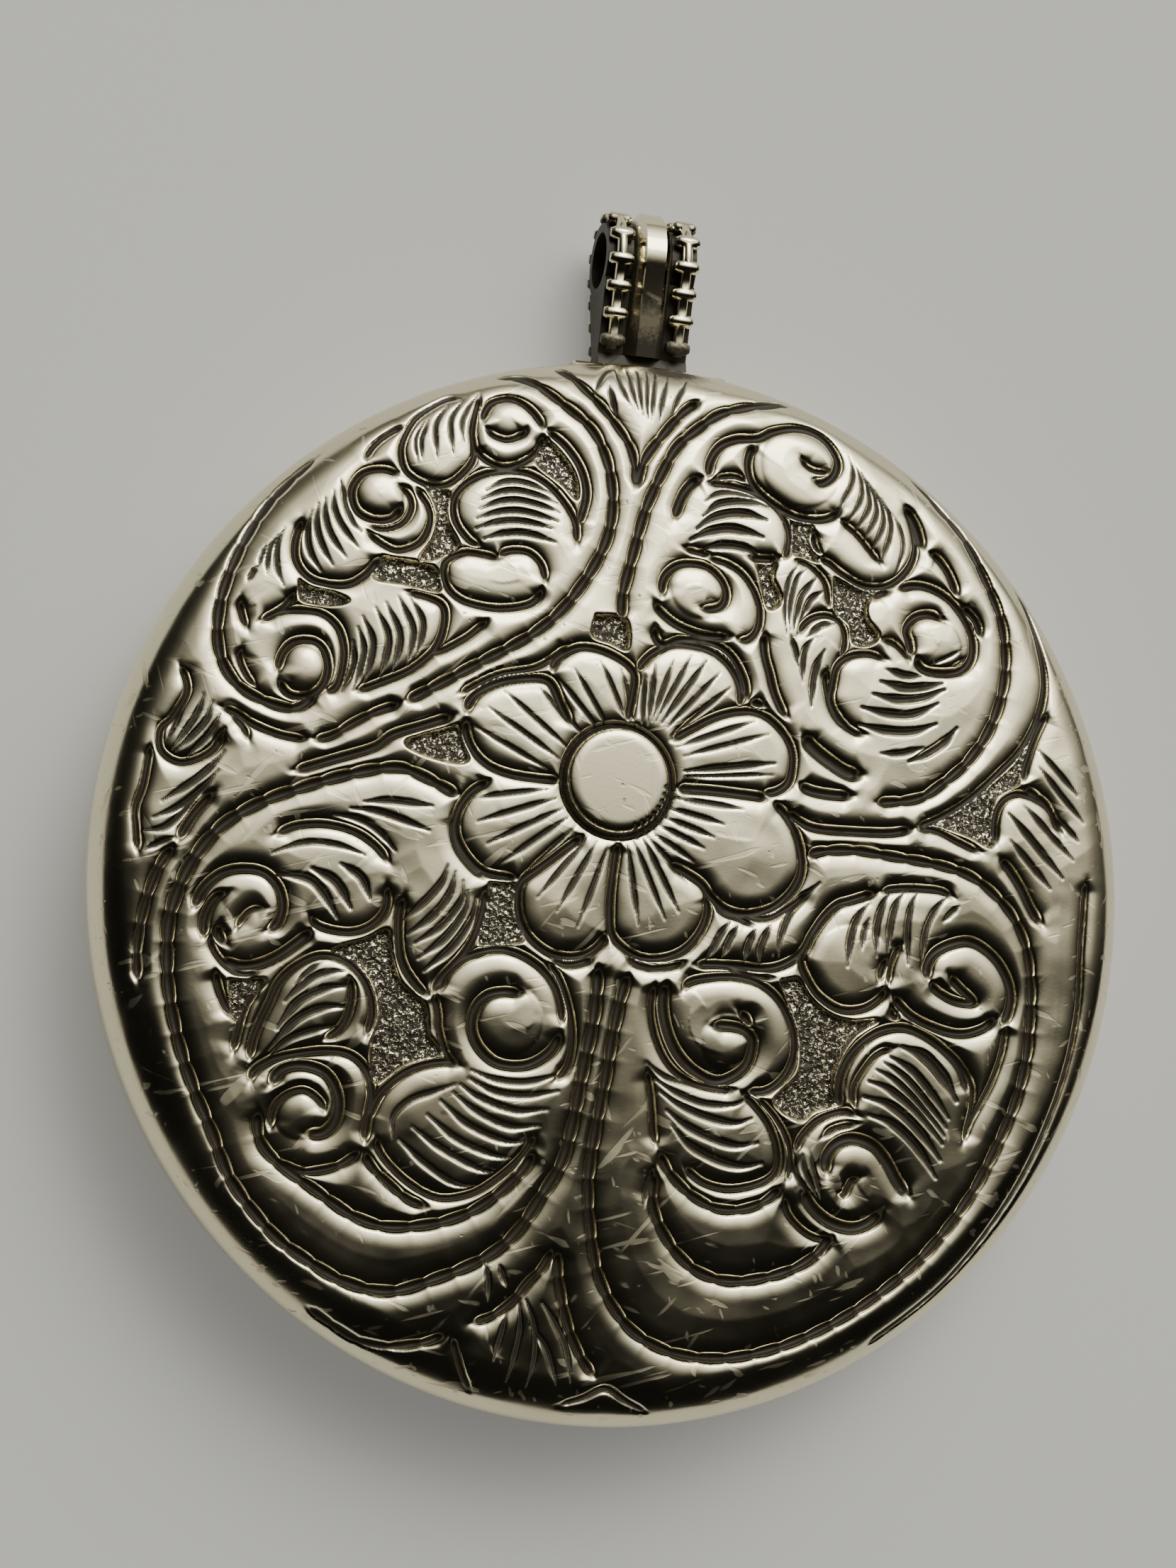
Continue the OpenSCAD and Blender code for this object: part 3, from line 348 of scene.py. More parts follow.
# engraved ribs inside leaves and petals: width mm, points
RIBS = [
    # top fan leaf
    (.3, "-3.7,24.6 -3,25.9 -2.2,26.4"), (.22, "-2.5,26.3 -2.3,25.2 -1.8,24.1"),
    (.22, "-1.9,26.6 -1.7,25 -1.35,23.9"), (.22, "-1.3,26.8 -1.3,25 -1.1,23.6"),
    (.22, "-.8,26.3 -.9,24.7 -.85,23.5"), (.22, "-.3,26.4 -.6,24.7 -.65,23.45"),
    (.22, ".3,26 -.1,24.6 -.2,23.5"), (.25, "1.3,25.9 .8,24.9 .45,23.9"),
    (.3, "-2.9,25.2 -2.75,24.3 -2.5,23.5"),
    # leaf 1
    (.2, "-12.3,22.1 -12.7,21.1 -12.55,19.9"), (.2, "-12.1,22.2 -12.45,21.1 -12.35,20.05"),
    (.22, "-11.1,23.1 -11.75,22 -11.6,20.2"), (.22, "-10.3,23.5 -11,22.3 -10.8,20.5"),
    (.22, "-9.6,23.9 -10.1,23 -10.4,22.2 -10.25,21.2"),
    # leaf 2
    (.28, "-16.3,18.6 -15.7,16.7 -15.1,16.05"), (.28, "-16.6,18 -16.5,17 -16,16.1 -15.25,15.25"),
    (.28, "-17,17.6 -16.95,16.6 -16.6,15.7 -15.85,14.7"),
    (.28, "-17.3,17.3 -17.35,16.1 -17,15.1 -16.45,14.25"),
    (.28, "-17.6,16.9 -17.8,15.8 -17.6,14.8 -17,13.9"),
    # leaf 3
    (.25, "-18.85,15.95 -19.2,15 -19.1,13.8 -18.75,13"), (.25, "-19.2,15.55 -19.6,14.5 -19.6,13.5"),
    (.22, "-19.7,15 -20.05,13.8"), (.22, "-20.1,13.9 -20.55,13"),
    # leaf 4
    (.3, "-9.1,18.8 -8.2,19.35 -7.2,19.45 -5.6,19.1"),
    (.3, "-9.3,18.3 -8.2,18.85 -7.1,18.95 -5.3,18.6"), (.3, "-9.4,17.8 -8.2,18.35 -7,18.45 -5.2,18.1"),
    (.3, "-9.5,17.3 -8.2,17.8 -7,17.9 -5.3,17.6"), (.3, "-9.5,16.8 -8.2,17.3 -7,17.4 -5.6,17.2"),
    (.3, "-9.1,16.3 -8,16.7 -6.8,16.8 -5.4,16.5"),
    # leaf 5
    (.28, "-15.25,10.6 -15.2,9.4 -15.65,8.05"), (.28, "-15.05,11.3 -14.7,10 -15.1,8.15"),
    (.28, "-14.85,11.85 -14.3,10.5 -14.6,8.45"), (.28, "-14.25,12.35 -13.55,10.8 -13.85,8.8"),
    (.28, "-13.75,12.65 -13,11 -13.25,9.15"), (.28, "-13.15,13 -12.35,11.3 -12.55,9.6"),
    (.28, "-12.5,13 -11.9,11.7 -12.15,10"),
    # left leaves
    (.25, "-22.2,7.45 -22.5,6.4 -23.5,4.6"), (.25, "-21.75,7.1 -22.1,6 -23.35,4.5"),
    (.25, "-21.35,6.55 -21.8,5.5 -22.8,4.3"), (.22, "-21.05,5.85 -21.6,5"),
    (.22, "-23.15,6.7 -23.85,5"), (.28, "-21.05,4.75 -21.7,3.9 -22.5,3.1 -23.8,2.1"),
    (.28, "-21.25,3.8 -22,2.8 -23,1.9 -24.15,1.3"), (.28, "-22,2.7 -23.4,1 -24.6,.65"),
    (.22, "-23,.5 -24.5,-.25"),
    # leaf 20
    (.3, "2.3,19.5 3,20 4,20.2 5.4,20"), (.4, "2.2,18.7 3,19.4 4,19.7 5,19.8 5.9,19.65"),
    (.45, "1.9,18 2.6,18.6 3.6,19 4.6,19.1 5.7,18.9"),
    (.45, "1.6,17.4 2.5,17.9 3.6,18.2 4.6,18.15 5.5,17.95"), (.4, "2.2,17 3.3,17.3 4.4,17.3 5.5,17"),
    # leaf 21
    (.22, "7.5,16.8 7,16 6.8,15 6.8,14 6.9,13"), (.22, "8,16.7 7.4,16 7.1,15 7,14 7.1,13.2"),
    (.28, "8.6,16.3 8,15.6 7.6,15 7.4,14 7.3,13.3"), (.28, "8.9,15.5 8.2,15 7.9,14.4 7.7,13.9"),
    (.28, "7.1,13 7.4,12.2 7.6,11.4"), (.28, "8.4,13 7.9,12.3 7.8,11.4 7.85,10.6"),
    (.35, "9,12.4 8.6,11.6 8.4,10.6 8.35,9.4"), (.3, "8,13 8.8,13.7 9.6,13.9"),
    # leaf 23
    (.22, "10.2,23 10.4,22.2 10.3,21.3 9.9,20.5 9.6,19.7"),
    (.22, "10.5,22.6 10.9,21.5 10.8,20.5 10.2,19.3"), (.24, "10.9,22.1 11.3,21 11.3,20.2 10.65,18.9"),
    (.24, "11.25,21.6 11.7,20.6 11.7,19.8 11.1,18.4"), (.24, "11.6,21.2 12.1,20.2 12.1,19.3 11.5,17.8"),
    (.24, "12,20.8 12.5,19.8 12.5,18.8 12,17.3"), (.2, "12.6,20.1 13.1,19.3 13.3,18.2 12.9,16.8"),
    # scroll 9 and leaf 24
    (.15, "14.9,12.2 15.9,12.7 16.7,13.2"), (.15, "16,12.2 16.6,12.5 17,12.9"),
    (.35, "12.4,11.75 13.5,11.5 14.5,11.6"), (.45, "12.1,11.05 13.5,10.85 14.6,11 15.7,11.35"),
    (.45, "11.7,10.35 13,10.2 14.5,10.45 15.8,11"), (.4, "11.1,9.6 12.5,9.4 14,9.5 15.4,10.2"),
    (.4, "11,8.7 12.5,8.5 14,8.6 15.3,9.1"), (.45, "13.8,7 14.8,7.5 15.8,8.2 16.5,9"),
    (.3, "12.2,7.3 13.4,7.4 14.6,7.8"),
    # right leaves
    (.25, "21.3,8.3 22.4,7.2 23.6,6"), (.25, "21.3,7.4 22.6,6 24,4.6"),
    (.3, "20.5,5.3 22,3.9 23.4,2.6"), (.35, "19.6,4.8 21.2,3.2 22.8,1.6"),
    (.3, "19.7,3.4 20.9,2.2 22.1,1"), (.25, "22.5,4.8 23.7,3.6"),
    # petals, counted from the left
    (.2, "-7.7,8.8 -4.3,6.15"), (.2, "-8.45,7.9 -4.75,5.6"), (.2, "-9.1,6.9 -5.3,5.05"),
    (.22, "-6,9.2 -3.5,6.8"), (.2, "-5,9.65 -2.65,7.05"), (.2, "-4.2,10.2 -2.2,7.15"),
    (.2, "-2.85,10.7 -1.4,7.8"), (.2, "-1.75,10.45 -.9,7.6"), (.25, "-.55,10.3 -.6,7.5"),
    (.25, "-.05,10.8 -.3,7.7"), (.2, ".9,11.1 -.1,7.9"), (.2, "1.9,11.5 .1,7.9"),
    (.25, "2.7,11.3 .4,7.8"), (.22, "3.4,10.7 .7,7.6"), (.25, "4,10 .9,7.2"), (.25, "5.4,8.4 1.2,6.7"),
    (.2, "6.2,7.8 1.6,6.25"), (.32, "6.5,6.3 1.7,5.5"), (.18, "6.4,5.7 1.7,5.25"),
    (.25, "4.9,3.85 1.2,4.15"), (.22, "3.9,3 .9,3.6"), (.22, "3.4,2.3 .8,3.1"), (.22, "2.9,1.7 .5,2.7"),
    (.2, "2.4,1 .2,2.3"), (.2, "2.2,-.1 -.1,2.1"), (.25, "1.7,-1.55 -.3,2"), (.22, "1,-1.95 -.8,1.9"),
    (.22, "-.35,-2.3 -1.1,1.7"), (.22, "-3.4,-2.6 -2,1.6"), (.22, "-4.5,-1.9 -2.6,1.7"),
    (.22, "-5.5,-1.3 -3.1,1.9"), (.22, "-8.95,3.35 -5.2,4.1"), (.22, "-8.7,2.2 -4.8,3.65"),
    (.22, "-8.15,1.15 -4.4,3.2"), (.22, "-7.4,.25 -4.1,2.8"), (.22, "-6.4,-.35 -3.7,2.4"),
    # lower left leaves
    (.3, "-14.3,2.75 -13,2.9 -10.9,2.8"), (.3, "-14.9,2.4 -13.5,2.3 -11,1.6"),
    (.3, "-15.7,2.05 -14.5,1.9 -13.5,1.4 -12.6,.5"), (.25, "-18.5,0 -17,.6 -15.5,.6 -14,.2"),
    (.4, "-18.2,-1 -16.8,-1.1 -16,-1.7 -15.2,-2.9"), (.4, "-16.6,-.6 -15.4,-1.2 -14.6,-2.4"),
    (.35, "-15.2,-.3 -14.2,-.9 -13.7,-1.9"), (.3, "-18.2,-10 -17.3,-8.9 -16,-8.3 -14.8,-8"),
    (.35, "-18,-9.3 -16.9,-7.9 -15.6,-7.2 -14.5,-7.1"),
    (.35, "-17.7,-8.3 -16.8,-7 -15.6,-6.3 -14.5,-6.1"), (.3, "-17.4,-7 -16.5,-6 -15.5,-5.5 -14.6,-5.4"),
    (.2, "-17,-6.2 -16.3,-5.4 -15.8,-5"), (.3, "-10,0 -10.3,-.9 -11,-1.8 -12,-2.8"),
    (.3, "-9.6,-.3 -9.9,-1.5 -10.7,-2.6 -11.8,-3.5"), (.3, "-9.2,-.7 -9.3,-1.8 -10.2,-3 -11.4,-3.9"),
    (.3, "-9,-1.2 -9.1,-2.2 -10,-3.6 -11.2,-4.6"), (.35, "-8.5,-1.5 -8.7,-2.6 -9.6,-4 -10.9,-5.2"),
    (.28, "-8.3,-9.8 -7,-10.2 -5.5,-10.25 -3.9,-9.8"),
    (.28, "-8.4,-10.2 -7,-10.8 -5.5,-10.9 -3.9,-10.6"),
    (.28, "-8.8,-10.5 -7.8,-11.1 -6,-11.65 -4.4,-11.5"),
    (.28, "-9.1,-10.9 -8,-11.7 -6.3,-12.4 -4.7,-12.3"),
    (.28, "-9.7,-11.3 -8.3,-12.4 -6.5,-13.1 -5.3,-13.1"),
    (.28, "-10.3,-12 -8.8,-13.1 -7,-13.8 -6,-13.9"),
    (.28, "-11,-12.6 -9.5,-13.6 -7.6,-14.5 -6.8,-14.6"),
    (.28, "-11.6,-13.2 -10.3,-14.3 -8.8,-15.2 -7.6,-15.3"),
    (.25, "-11.9,-13.2 -11.9,-12.2 -11.2,-11.4 -10,-10.9 -9,-10.5"),
    # bottom fan
    (.28, "-5.8,-21.3 -6,-22.3 -6.3,-23.5"), (.28, "-5.2,-20.8 -5.1,-22 -5.3,-23.3 -5.6,-24.6"),
    (.28, "-4.9,-20.6 -4.4,-21.9 -4.3,-23.3 -4.6,-24.8"), (.28, "-4.6,-21.8 -3.7,-23 -3.1,-24.7"),
    (.28, "-4.1,-20.7 -3.3,-21.8 -2.7,-23 -2.4,-24.6"), (.25, "-7,-18.9 -6.8,-19.8 -6.75,-20.7"),
    (.25, "-6.3,-19 -5.9,-20"),
    # leaf 25
    (.3, "3.2,-4 3.7,-3 4.1,-2.3 4.5,-1.8"), (.3, "4.1,-3.7 4.4,-2.8 4.9,-2"),
    (.32, "5.3,-3.8 5.4,-3 5.8,-2.1"), (.32, "6.1,-3.9 6.1,-3 6.6,-1.8"),
    (.32, "7.1,-3.5 7.1,-2.5 7.6,-1.2 8.5,-.2 9.1,.4"),
    # leaf 26 and leaf 30
    (.35, "11.9,-.4 11.2,-1.3 10.85,-2.4 10.75,-3.7"), (.25, "11.9,-1.2 11.6,-2 11.5,-2.8"),
    (.32, "13.1,.3 12.6,-.5 12.3,-1.7 12.35,-3.1"), (.32, "13.8,.3 13.3,-.5 13.05,-1.6 13,-2.8"),
    (.3, "14.6,.4 14.2,-.4 14,-1.6 14.1,-3.4"), (.3, "16.3,.3 15.5,-.6 15,-1.8 14.9,-3.5"),
    (.25, "16.9,-.2 16.3,-.8 16,-1.1"),
    # leaf 27
    (.25, ".4,-9 1.5,-9.7 3,-9.95 4,-9.9"), (.3, ".9,-9.8 2,-10.4 3.5,-10.9 5,-10.9 5.7,-10.6"),
    (.32, "1.2,-10.4 2.2,-11 3.8,-11.6 5.2,-11.8 6.1,-11.5"),
    (.35, "1.6,-11.3 2.6,-12 4,-12.6 5.3,-12.9 6.4,-12.7"),
    (.38, "1.9,-12 2.8,-12.9 4.2,-13.6 5.6,-13.9 6.7,-13.7"),
    # leaf of scroll 15
    (.25, "8.3,-13.2 8.6,-14.3 9.4,-15.2"), (.25, "8.8,-13.1 9,-14 9.7,-15.2"),
    (.25, "9.2,-13 9.5,-14 9.9,-15.3"),
    # leaf 28
    (.6, "14,-7.6 15.2,-8 16.3,-9 17.1,-10.2"), (.35, "13.3,-8.1 14.6,-8.8 15.8,-10 16.7,-11.1"),
    (.32, "13,-8.4 14.3,-9.2 15.5,-10.4 16.6,-11.6"), (.32, "12.6,-8.8 13.8,-9.4 15.3,-10.7 16.5,-12"),
    (.38, "12.2,-9.4 13.4,-9.8 15,-10.9 16.4,-12.4"), (.42, "12,-10.2 13.5,-10.6 15,-11.7 16.3,-13.2"),
    (.4, "12.3,-11.1 13.6,-11.5 15,-12.6 16.1,-14.1"),
]

# sunk, stippled ground between the motifs
GROUNDS = [
    "-9.9,6.9 -12.4,5.9 -11,5.2 -9.3,5.2", "-3.2,13 -3.3,12 -2.4,11.7 -1.5,11.5 -1.7,13",
    "-12.2,19 -11.3,18.7 -10.8,18.4 -10.9,17.2 -10.3,15.9 -11.2,15.2 -12.2,15 -11.6,16.2 -11.5,17.6",
    "-14,15 -12,14.8 -11.2,14.4 -11.2,13.5 -13,13.7 -14.4,13.9",
    "-18,13.4 -17.4,13.1 -16.5,13 -15.6,12.6 -16.4,12.3 -17.8,12.4",
    "-6,21.9 -5,20.9 -4.4,19.9 -4.4,18.9 -5.2,19.6 -6.4,20.4 -6.6,21",
    "7.1,19 8.2,19 8.1,18 8.6,17.1 7.8,17.2 7.2,17.4 7.2,18.4",
    "9.5,16.3 11,15.9 11.9,15.9 11.3,15 11.4,14.2 12,13.5 11.4,12.9 10.6,13 10.4,13.9 9.6,14.5 "
    "9.5,15.4",
    "5.2,16.5 6.2,16.7 6.1,15.9 6.6,14.8 5.9,14.3 5.5,15.5",
    "15.2,3.9 16.6,4.6 18,5.7 19.2,6.7 20.1,7.6 20.9,8.9 20.2,6.5 19,5.6 18.7,4.5 18.7,3 17.2,3.5",
    "-13.8,-3.8 -12.7,-3.3 -12.4,-4.6 -11.9,-5.8 -10.7,-6.8 -10.4,-8.2 -9.7,-9.1 -11.3,-9.6 "
    "-12.9,-10.6 -13.2,-9 -12.9,-7.2 -13.5,-5.6 -14.4,-4.9 -15.3,-4.4",
    "-20.1,-6.1 -18.4,-6 -18.9,-6.8 -19.6,-8 -20,-7.2",
    "-7.9,-.7 -6.6,-.7 -6.6,-2 -6,-3.2 -6.6,-3.6 -8.2,-3.7 -8,-2.2",
    "7.3,-4.6 8.3,-4.5 9,-5.4 10,-6.1 11.2,-6.4 12.6,-6.3 11.3,-7.2 10.5,-8.6 10.3,-10 10.6,-10.7 "
    "9.4,-11 8.6,-11.5 7.2,-10.6 8.4,-9.3 8.5,-8 8.3,-6.8 7.7,-5.6",
]

# soft rises: centre x, y, radius, height mm
BULGES = [
    (-17.6, 8.95, 1.2, .12), (-14.35, 18.1, 1.2, .12), (2.2, 15, 1.6, .08), (7.5, 22, 2.2, .08),
    (-6.6, -7.3, 1.7, .1), (4.6, -7.8, 1.4, .1), (11, -3.8, 2.2, .1), (-16.3, -12.1, 1.3, .1),
    (15.2, 13.2, 1.5, .1),
]


def ease(value, low, high):
    """Smooth step: 0 below low, 1 above high, and 3t^2 - 2t^3 between."""
    t = np.clip((value - low) / (high - low), 0, 1)
    return t * t * (3 - 2 * t)


def dome(t):
    """Quarter-circle rise: sqrt(1 - (1 - t)^2) for t from 0 to 1."""
    return np.sqrt(np.clip(1 - (1 - np.clip(t, 0, 1)) ** 2, 0, 1))


def points(text):
    """The x,y pairs of a written path as an array."""
    return np.array([[float(v) for v in pair.split(",")] for pair in text.split()])


def curve(text):
    """Catmull-Rom curve through the written points, sampled about every CURVE_STEP millimetres."""
    p = points(text)
    ends = np.vstack([2 * p[0] - p[1], p, 2 * p[-1] - p[-2]])
    pieces = []
    for p0, p1, p2, p3 in zip(ends, ends[1:], ends[2:], ends[3:]):
        count = max(2, int(np.hypot(*(p2 - p1)) / CURVE_STEP) + 1)
        t = np.linspace(0, 1, count, endpoint=False)[:, None]
        bend = ((-p0 + p2) * t + (2 * p0 - 5 * p1 + 4 * p2 - p3) * t ** 2
                + (-p0 + 3 * p1 - 3 * p2 + p3) * t ** 3)
        pieces.append(p1 + 0.5 * bend)
    return np.vstack(pieces + [p[-1:]])


class Field:
    """A square grid of heights over the cover, which the chasing is worked into."""

    def __init__(self, pitch):
        self.pitch = pitch
        self.count = int(round(2 * FIELD_HALF / pitch)) + 1
        self.axis = np.linspace(-FIELD_HALF, FIELD_HALF, self.count)

    def span(self, low, high):
        """Index range of the grid lines between two coordinates."""
        start = int(np.clip((low + FIELD_HALF) / self.pitch, 0, self.count - 1))
        stop = int(np.clip((high + FIELD_HALF) / self.pitch + 2, 0, self.count))
        return start, max(stop, start + 1)

    def window(self, path, reach):
        """Row and column slices of the grid around a path."""
        low, high = path.min(0) - reach, path.max(0) + reach
        return slice(*self.span(low[1], high[1])), slice(*self.span(low[0], high[0]))

    def nearest(self, path, reach):
        """Window, distance to the path, and length along the path at its nearest point."""
        rows, columns = self.window(path, reach)
        x = self.axis[columns][None, :]
        y = self.axis[rows][:, None]
        square = np.full((y.shape[0], x.shape[1]), 1e9)
        along = np.zeros(square.shape)
        steps = np.diff(path, axis=0)
        lengths = np.hypot(steps[:, 0], steps[:, 1])
        travelled = np.concatenate([[0], np.cumsum(lengths)])
        for i, (step, length) in enumerate(zip(steps, lengths)):
            if length == 0:
                continue
            low = np.minimum(path[i], path[i + 1]) - reach
            high = np.maximum(path[i], path[i + 1]) + reach
            r0, r1 = np.array(self.span(low[1], high[1])) - rows.start
            c0, c1 = np.array(self.span(low[0], high[0])) - columns.start
            r0, c0 = max(r0, 0), max(c0, 0)
            dx = x[:, c0:c1] - path[i, 0]
            dy = y[r0:r1] - path[i, 1]
            t = np.clip((dx * step[0] + dy * step[1]) / length ** 2, 0, 1)
            d = (dx - t * step[0]) ** 2 + (dy - t * step[1]) ** 2
            closer = d < square[r0:r1, c0:c1]
            square[r0:r1, c0:c1][closer] = d[closer]
            along[r0:r1, c0:c1][closer] = (travelled[i] + t * length)[closer]
        return rows, columns, np.sqrt(square), along, travelled[-1]

    def inside(self, loop):
        """Window around a closed loop and whether each point is inside it, by counting crossings."""
        rows, columns = self.window(loop, 1)
        x = self.axis[columns][None, :]
        y = self.axis[rows][:, None]
        odd = np.zeros((y.shape[0], x.shape[1]), bool)
        for (xa, ya), (xb, yb) in zip(loop, np.roll(loop, -1, axis=0)):
            if ya != yb:
                odd ^= ((ya > y) != (yb > y)) & (x < xa + (y - ya) / (yb - ya) * (xb - xa))
        return rows, columns, odd

    def blur(self, values, radius):
        """Gaussian blur of a radius in millimetres, done in frequency space."""
        across = np.fft.rfftfreq(self.count)[None, :]
        down = np.fft.fftfreq(self.count)[:, None]
        weight = np.exp(-2 * (np.pi * radius / self.pitch) ** 2 * (across ** 2 + down ** 2))
        return np.fft.irfft2(np.fft.rfft2(values) * weight, s=values.shape)

    def sample(self, values, x, y):
        """Values between the grid points, by linear blending both ways."""
        u = np.clip((x + FIELD_HALF) / self.pitch, 0, self.count - 1.001)
        v = np.clip((y + FIELD_HALF) / self.pitch, 0, self.count - 1.001)
        i, j = u.astype(int), v.astype(int)
        fu, fv = u - i, v - j
        low = values[j, i] * (1 - fu) + values[j, i + 1] * fu
        high = values[j + 1, i] * (1 - fu) + values[j + 1, i + 1] * fu
        return low * (1 - fv) + high * fv


def cut_main_lines(field, look, cut, dark, far):
    """Liner cuts: round-bottomed grooves, beaded along their length where they are punched.

    The depth is the full depth times (1 - (distance / half width)^2) raised to the cut's roundness.
    """
    for punched, strokes in ((True, PUNCHED), (False, OUTLINES)):
        for width, text in strokes:
            rows, columns, d, s, total = field.nearest(curve(text), CUT_REACH)
            # Narrower and shallower towards both ends, with a slight waver or the beat of the punch.
            ends = ease(np.minimum(s, total - s), -0.1, CUT_END)
            half = look.cut_width * width / 2 * (0.55 + 0.45 * ends)
            bead = 0.92 + 0.08 * np.sin(2.3 * s + 40 * width)
            if punched:
                u = s * max(1, round(total / look.punch_length)) / total % 1
                stroke = np.clip(np.sin(np.pi * np.clip(1.12 * u, 0, 1)), 0, 1) ** 0.5
                bead = 0.75 + 0.25 * stroke
                half = half * (0.85 + 0.3 * stroke)
            bowl = np.clip(1 - (d / half) ** 2, 0, 1)
            strength = 0.3 + 0.7 * min(1, width / CUT_FULL_WIDTH)
            depth = look.groove_depth * strength * bead * ends * bowl ** CUT_ROUNDNESS
            cut[rows, columns] = np.maximum(cut[rows, columns], depth)
            dark[rows, columns] = np.maximum(dark[rows, columns], ends * ease(bowl, 0.02, 0.7))
            far[rows, columns] = np.minimum(far[rows, columns], d - 0.6 * half + 0.5 * (1 - ends))


def boss_ticks():
    """Short punch marks across the lower right edge of the boss."""
    for angle in TICK_ANGLES:
        across, up = math.cos(math.radians(angle)), math.sin(math.radians(angle))
        ends = [(ROSETTE[0] + reach * across, ROSETTE[1] + reach * up) for reach in TICK_ENDS]
        yield TICK_WIDTH, " ".join(f"{x:.2f},{y:.2f}" for x, y in ends)


def cut_ribs(field, look, cut, dark, near):
    """Engraved ribs: grooves that swell in the middle third and taper to both ends."""
    for width, text in (*RIBS, *boss_ticks()):
        rows, columns, d, s, total = field.nearest(curve(text), RIB_REACH)
        taper = 0.35 + 0.65 * ease(np.minimum(s, total - s), 0, 0.35 * total)
        bowl = np.clip(1 - (d / (0.55 * width * taper)) ** 2, 0, 1)
        depth = look.rib_depth * (width / RIB_FULL_WIDTH) ** 0.8 * taper * bowl ** RIB_ROUNDNESS
        cut[rows, columns] = np.maximum(cut[rows, columns], depth)
        dark[rows, columns] = np.maximum(dark[rows, columns], RIB_DARKNESS * ease(bowl, 0.1, 0.9))
        near[rows, columns] = np.minimum(near[rows, columns], d + 0.5 * (1 - taper))


def even_noise(field, seed, width):
    """Random dots blurred to a width in millimetres, scaled to a spread of 1."""
    dots = field.blur(np.random.default_rng(seed).standard_normal((field.count, field.count)), width)
    return dots / dots.std()


def sink_grounds(field, look, height, dark):
    """Ground between the motifs: lowered to a level, with a matting of fine blurred dots."""
    matting = look.matting_height * even_noise(field, 7, MATTING_DOT)
    ground = np.zeros(height.shape)
    for text in GROUNDS:
        loop = curve(text + " " + text.split()[0])
        rows, columns, within = field.inside(loop)
        _, _, d, _, _ = field.nearest(loop, GROUND_REACH)
        share = ease(np.where(within, d, -d), *GROUND_EDGE)
        floor = np.minimum(height[rows, columns], look.ground_level + matting[rows, columns])
        height[rows, columns] += share * (floor - height[rows, columns])
        dark[rows, columns] = np.maximum(dark[rows, columns], GROUND_DARKNESS * share)
        ground[rows, columns] = np.maximum(ground[rows, columns], share)
    return ground


def chase(look):
    """Height above the plain dome, darkness of the tarnish and of a painted shadow, and share of matted
    ground, over the whole cover.

    Each cell between the liner cuts swells as a quarter circle of its distance to the nearest cut,
    on top of a lower and broader swell. Ribs round the metal between them in the same way, soft
    bulges lift the balls and bosses, and two blurred noises give the hand-beaten unevenness.
    The swells fade out over the rim, and a painted shadow of the bail's foot darkens the cover below it.
    """
    field = Field(look.grid_pitch)
    x = field.axis[None, :]
    y = field.axis[:, None]
    radius = np.hypot(x, y)
    from_boss = np.hypot(x - ROSETTE[0], y - ROSETTE[1])
    shape = radius.shape
    cut, dark, far, near = np.zeros(shape), np.zeros(shape), np.full(shape, 9.0), np.full(shape, 9.0)
    cut_main_lines(field, look, cut, dark, far)
    ring = np.clip(1 - ((from_boss - BOSS_RADIUS) / BOSS_RING_HALF) ** 2, 0, 1)
    cut = np.maximum(cut, look.groove_depth * ring ** CUT_ROUNDNESS)
    dark = np.maximum(dark, ease(ring, 0.05, 0.8))
    far = np.minimum(far, np.abs(from_boss - BOSS_RADIUS) - 0.1)
    cut_ribs(field, look, cut, dark, near)
    height = look.plateau - look.pillow * (1 - dome(far / look.shoulder)) + look.crown * ease(far, 0, 3)
    height = height - look.rib_round * (1 - dome(near / RIB_SHOULDER))
    for cx, cy, reach, rise in BULGES:
        height = height + rise * np.sqrt(np.clip(1 - ((x - cx) ** 2 + (y - cy) ** 2) / reach ** 2, 0, 1))
    unevenness = even_noise(field, 3, BROAD_UNEVENNESS)
    unevenness = unevenness + FINE_UNEVENNESS_SHARE * even_noise(field, 5, FINE_UNEVENNESS)
    height = height + look.beaten * unevenness
    fade = 1 - ease(radius, WORKED_RADIUS, RIM_RADIUS)
    height = fade * height
    boss = look.plateau + look.boss_rise * dome((BOSS_RADIUS - 0.03 - from_boss) / BOSS_SHOULDER)
    height = np.where(from_boss < BOSS_RADIUS, boss, height)
    edge = 1 - ease(radius, RIM_RADIUS - RIM_FADE, RIM_RADIUS)
    height = height - edge * (0.5 + 0.5 * fade) * cut
    ground = sink_grounds(field, look, height, dark)
    # Painted shadow of the bail's foot: a soft oval of darkness on the cover just below it.
    across = (x - BAIL_SHADOW_MIDDLE[0]) / BAIL_SHADOW_SIZE[0]
    along = (y - BAIL_SHADOW_MIDDLE[1]) / BAIL_SHADOW_SIZE[1]
    bail_shadow = np.exp(-across ** 2 - along ** 2)
    dark = np.maximum(edge * dark, BAIL_SHADOW_DARKNESS * bail_shadow)
    return field, field.blur(height, look.edge_softness), dark, ground


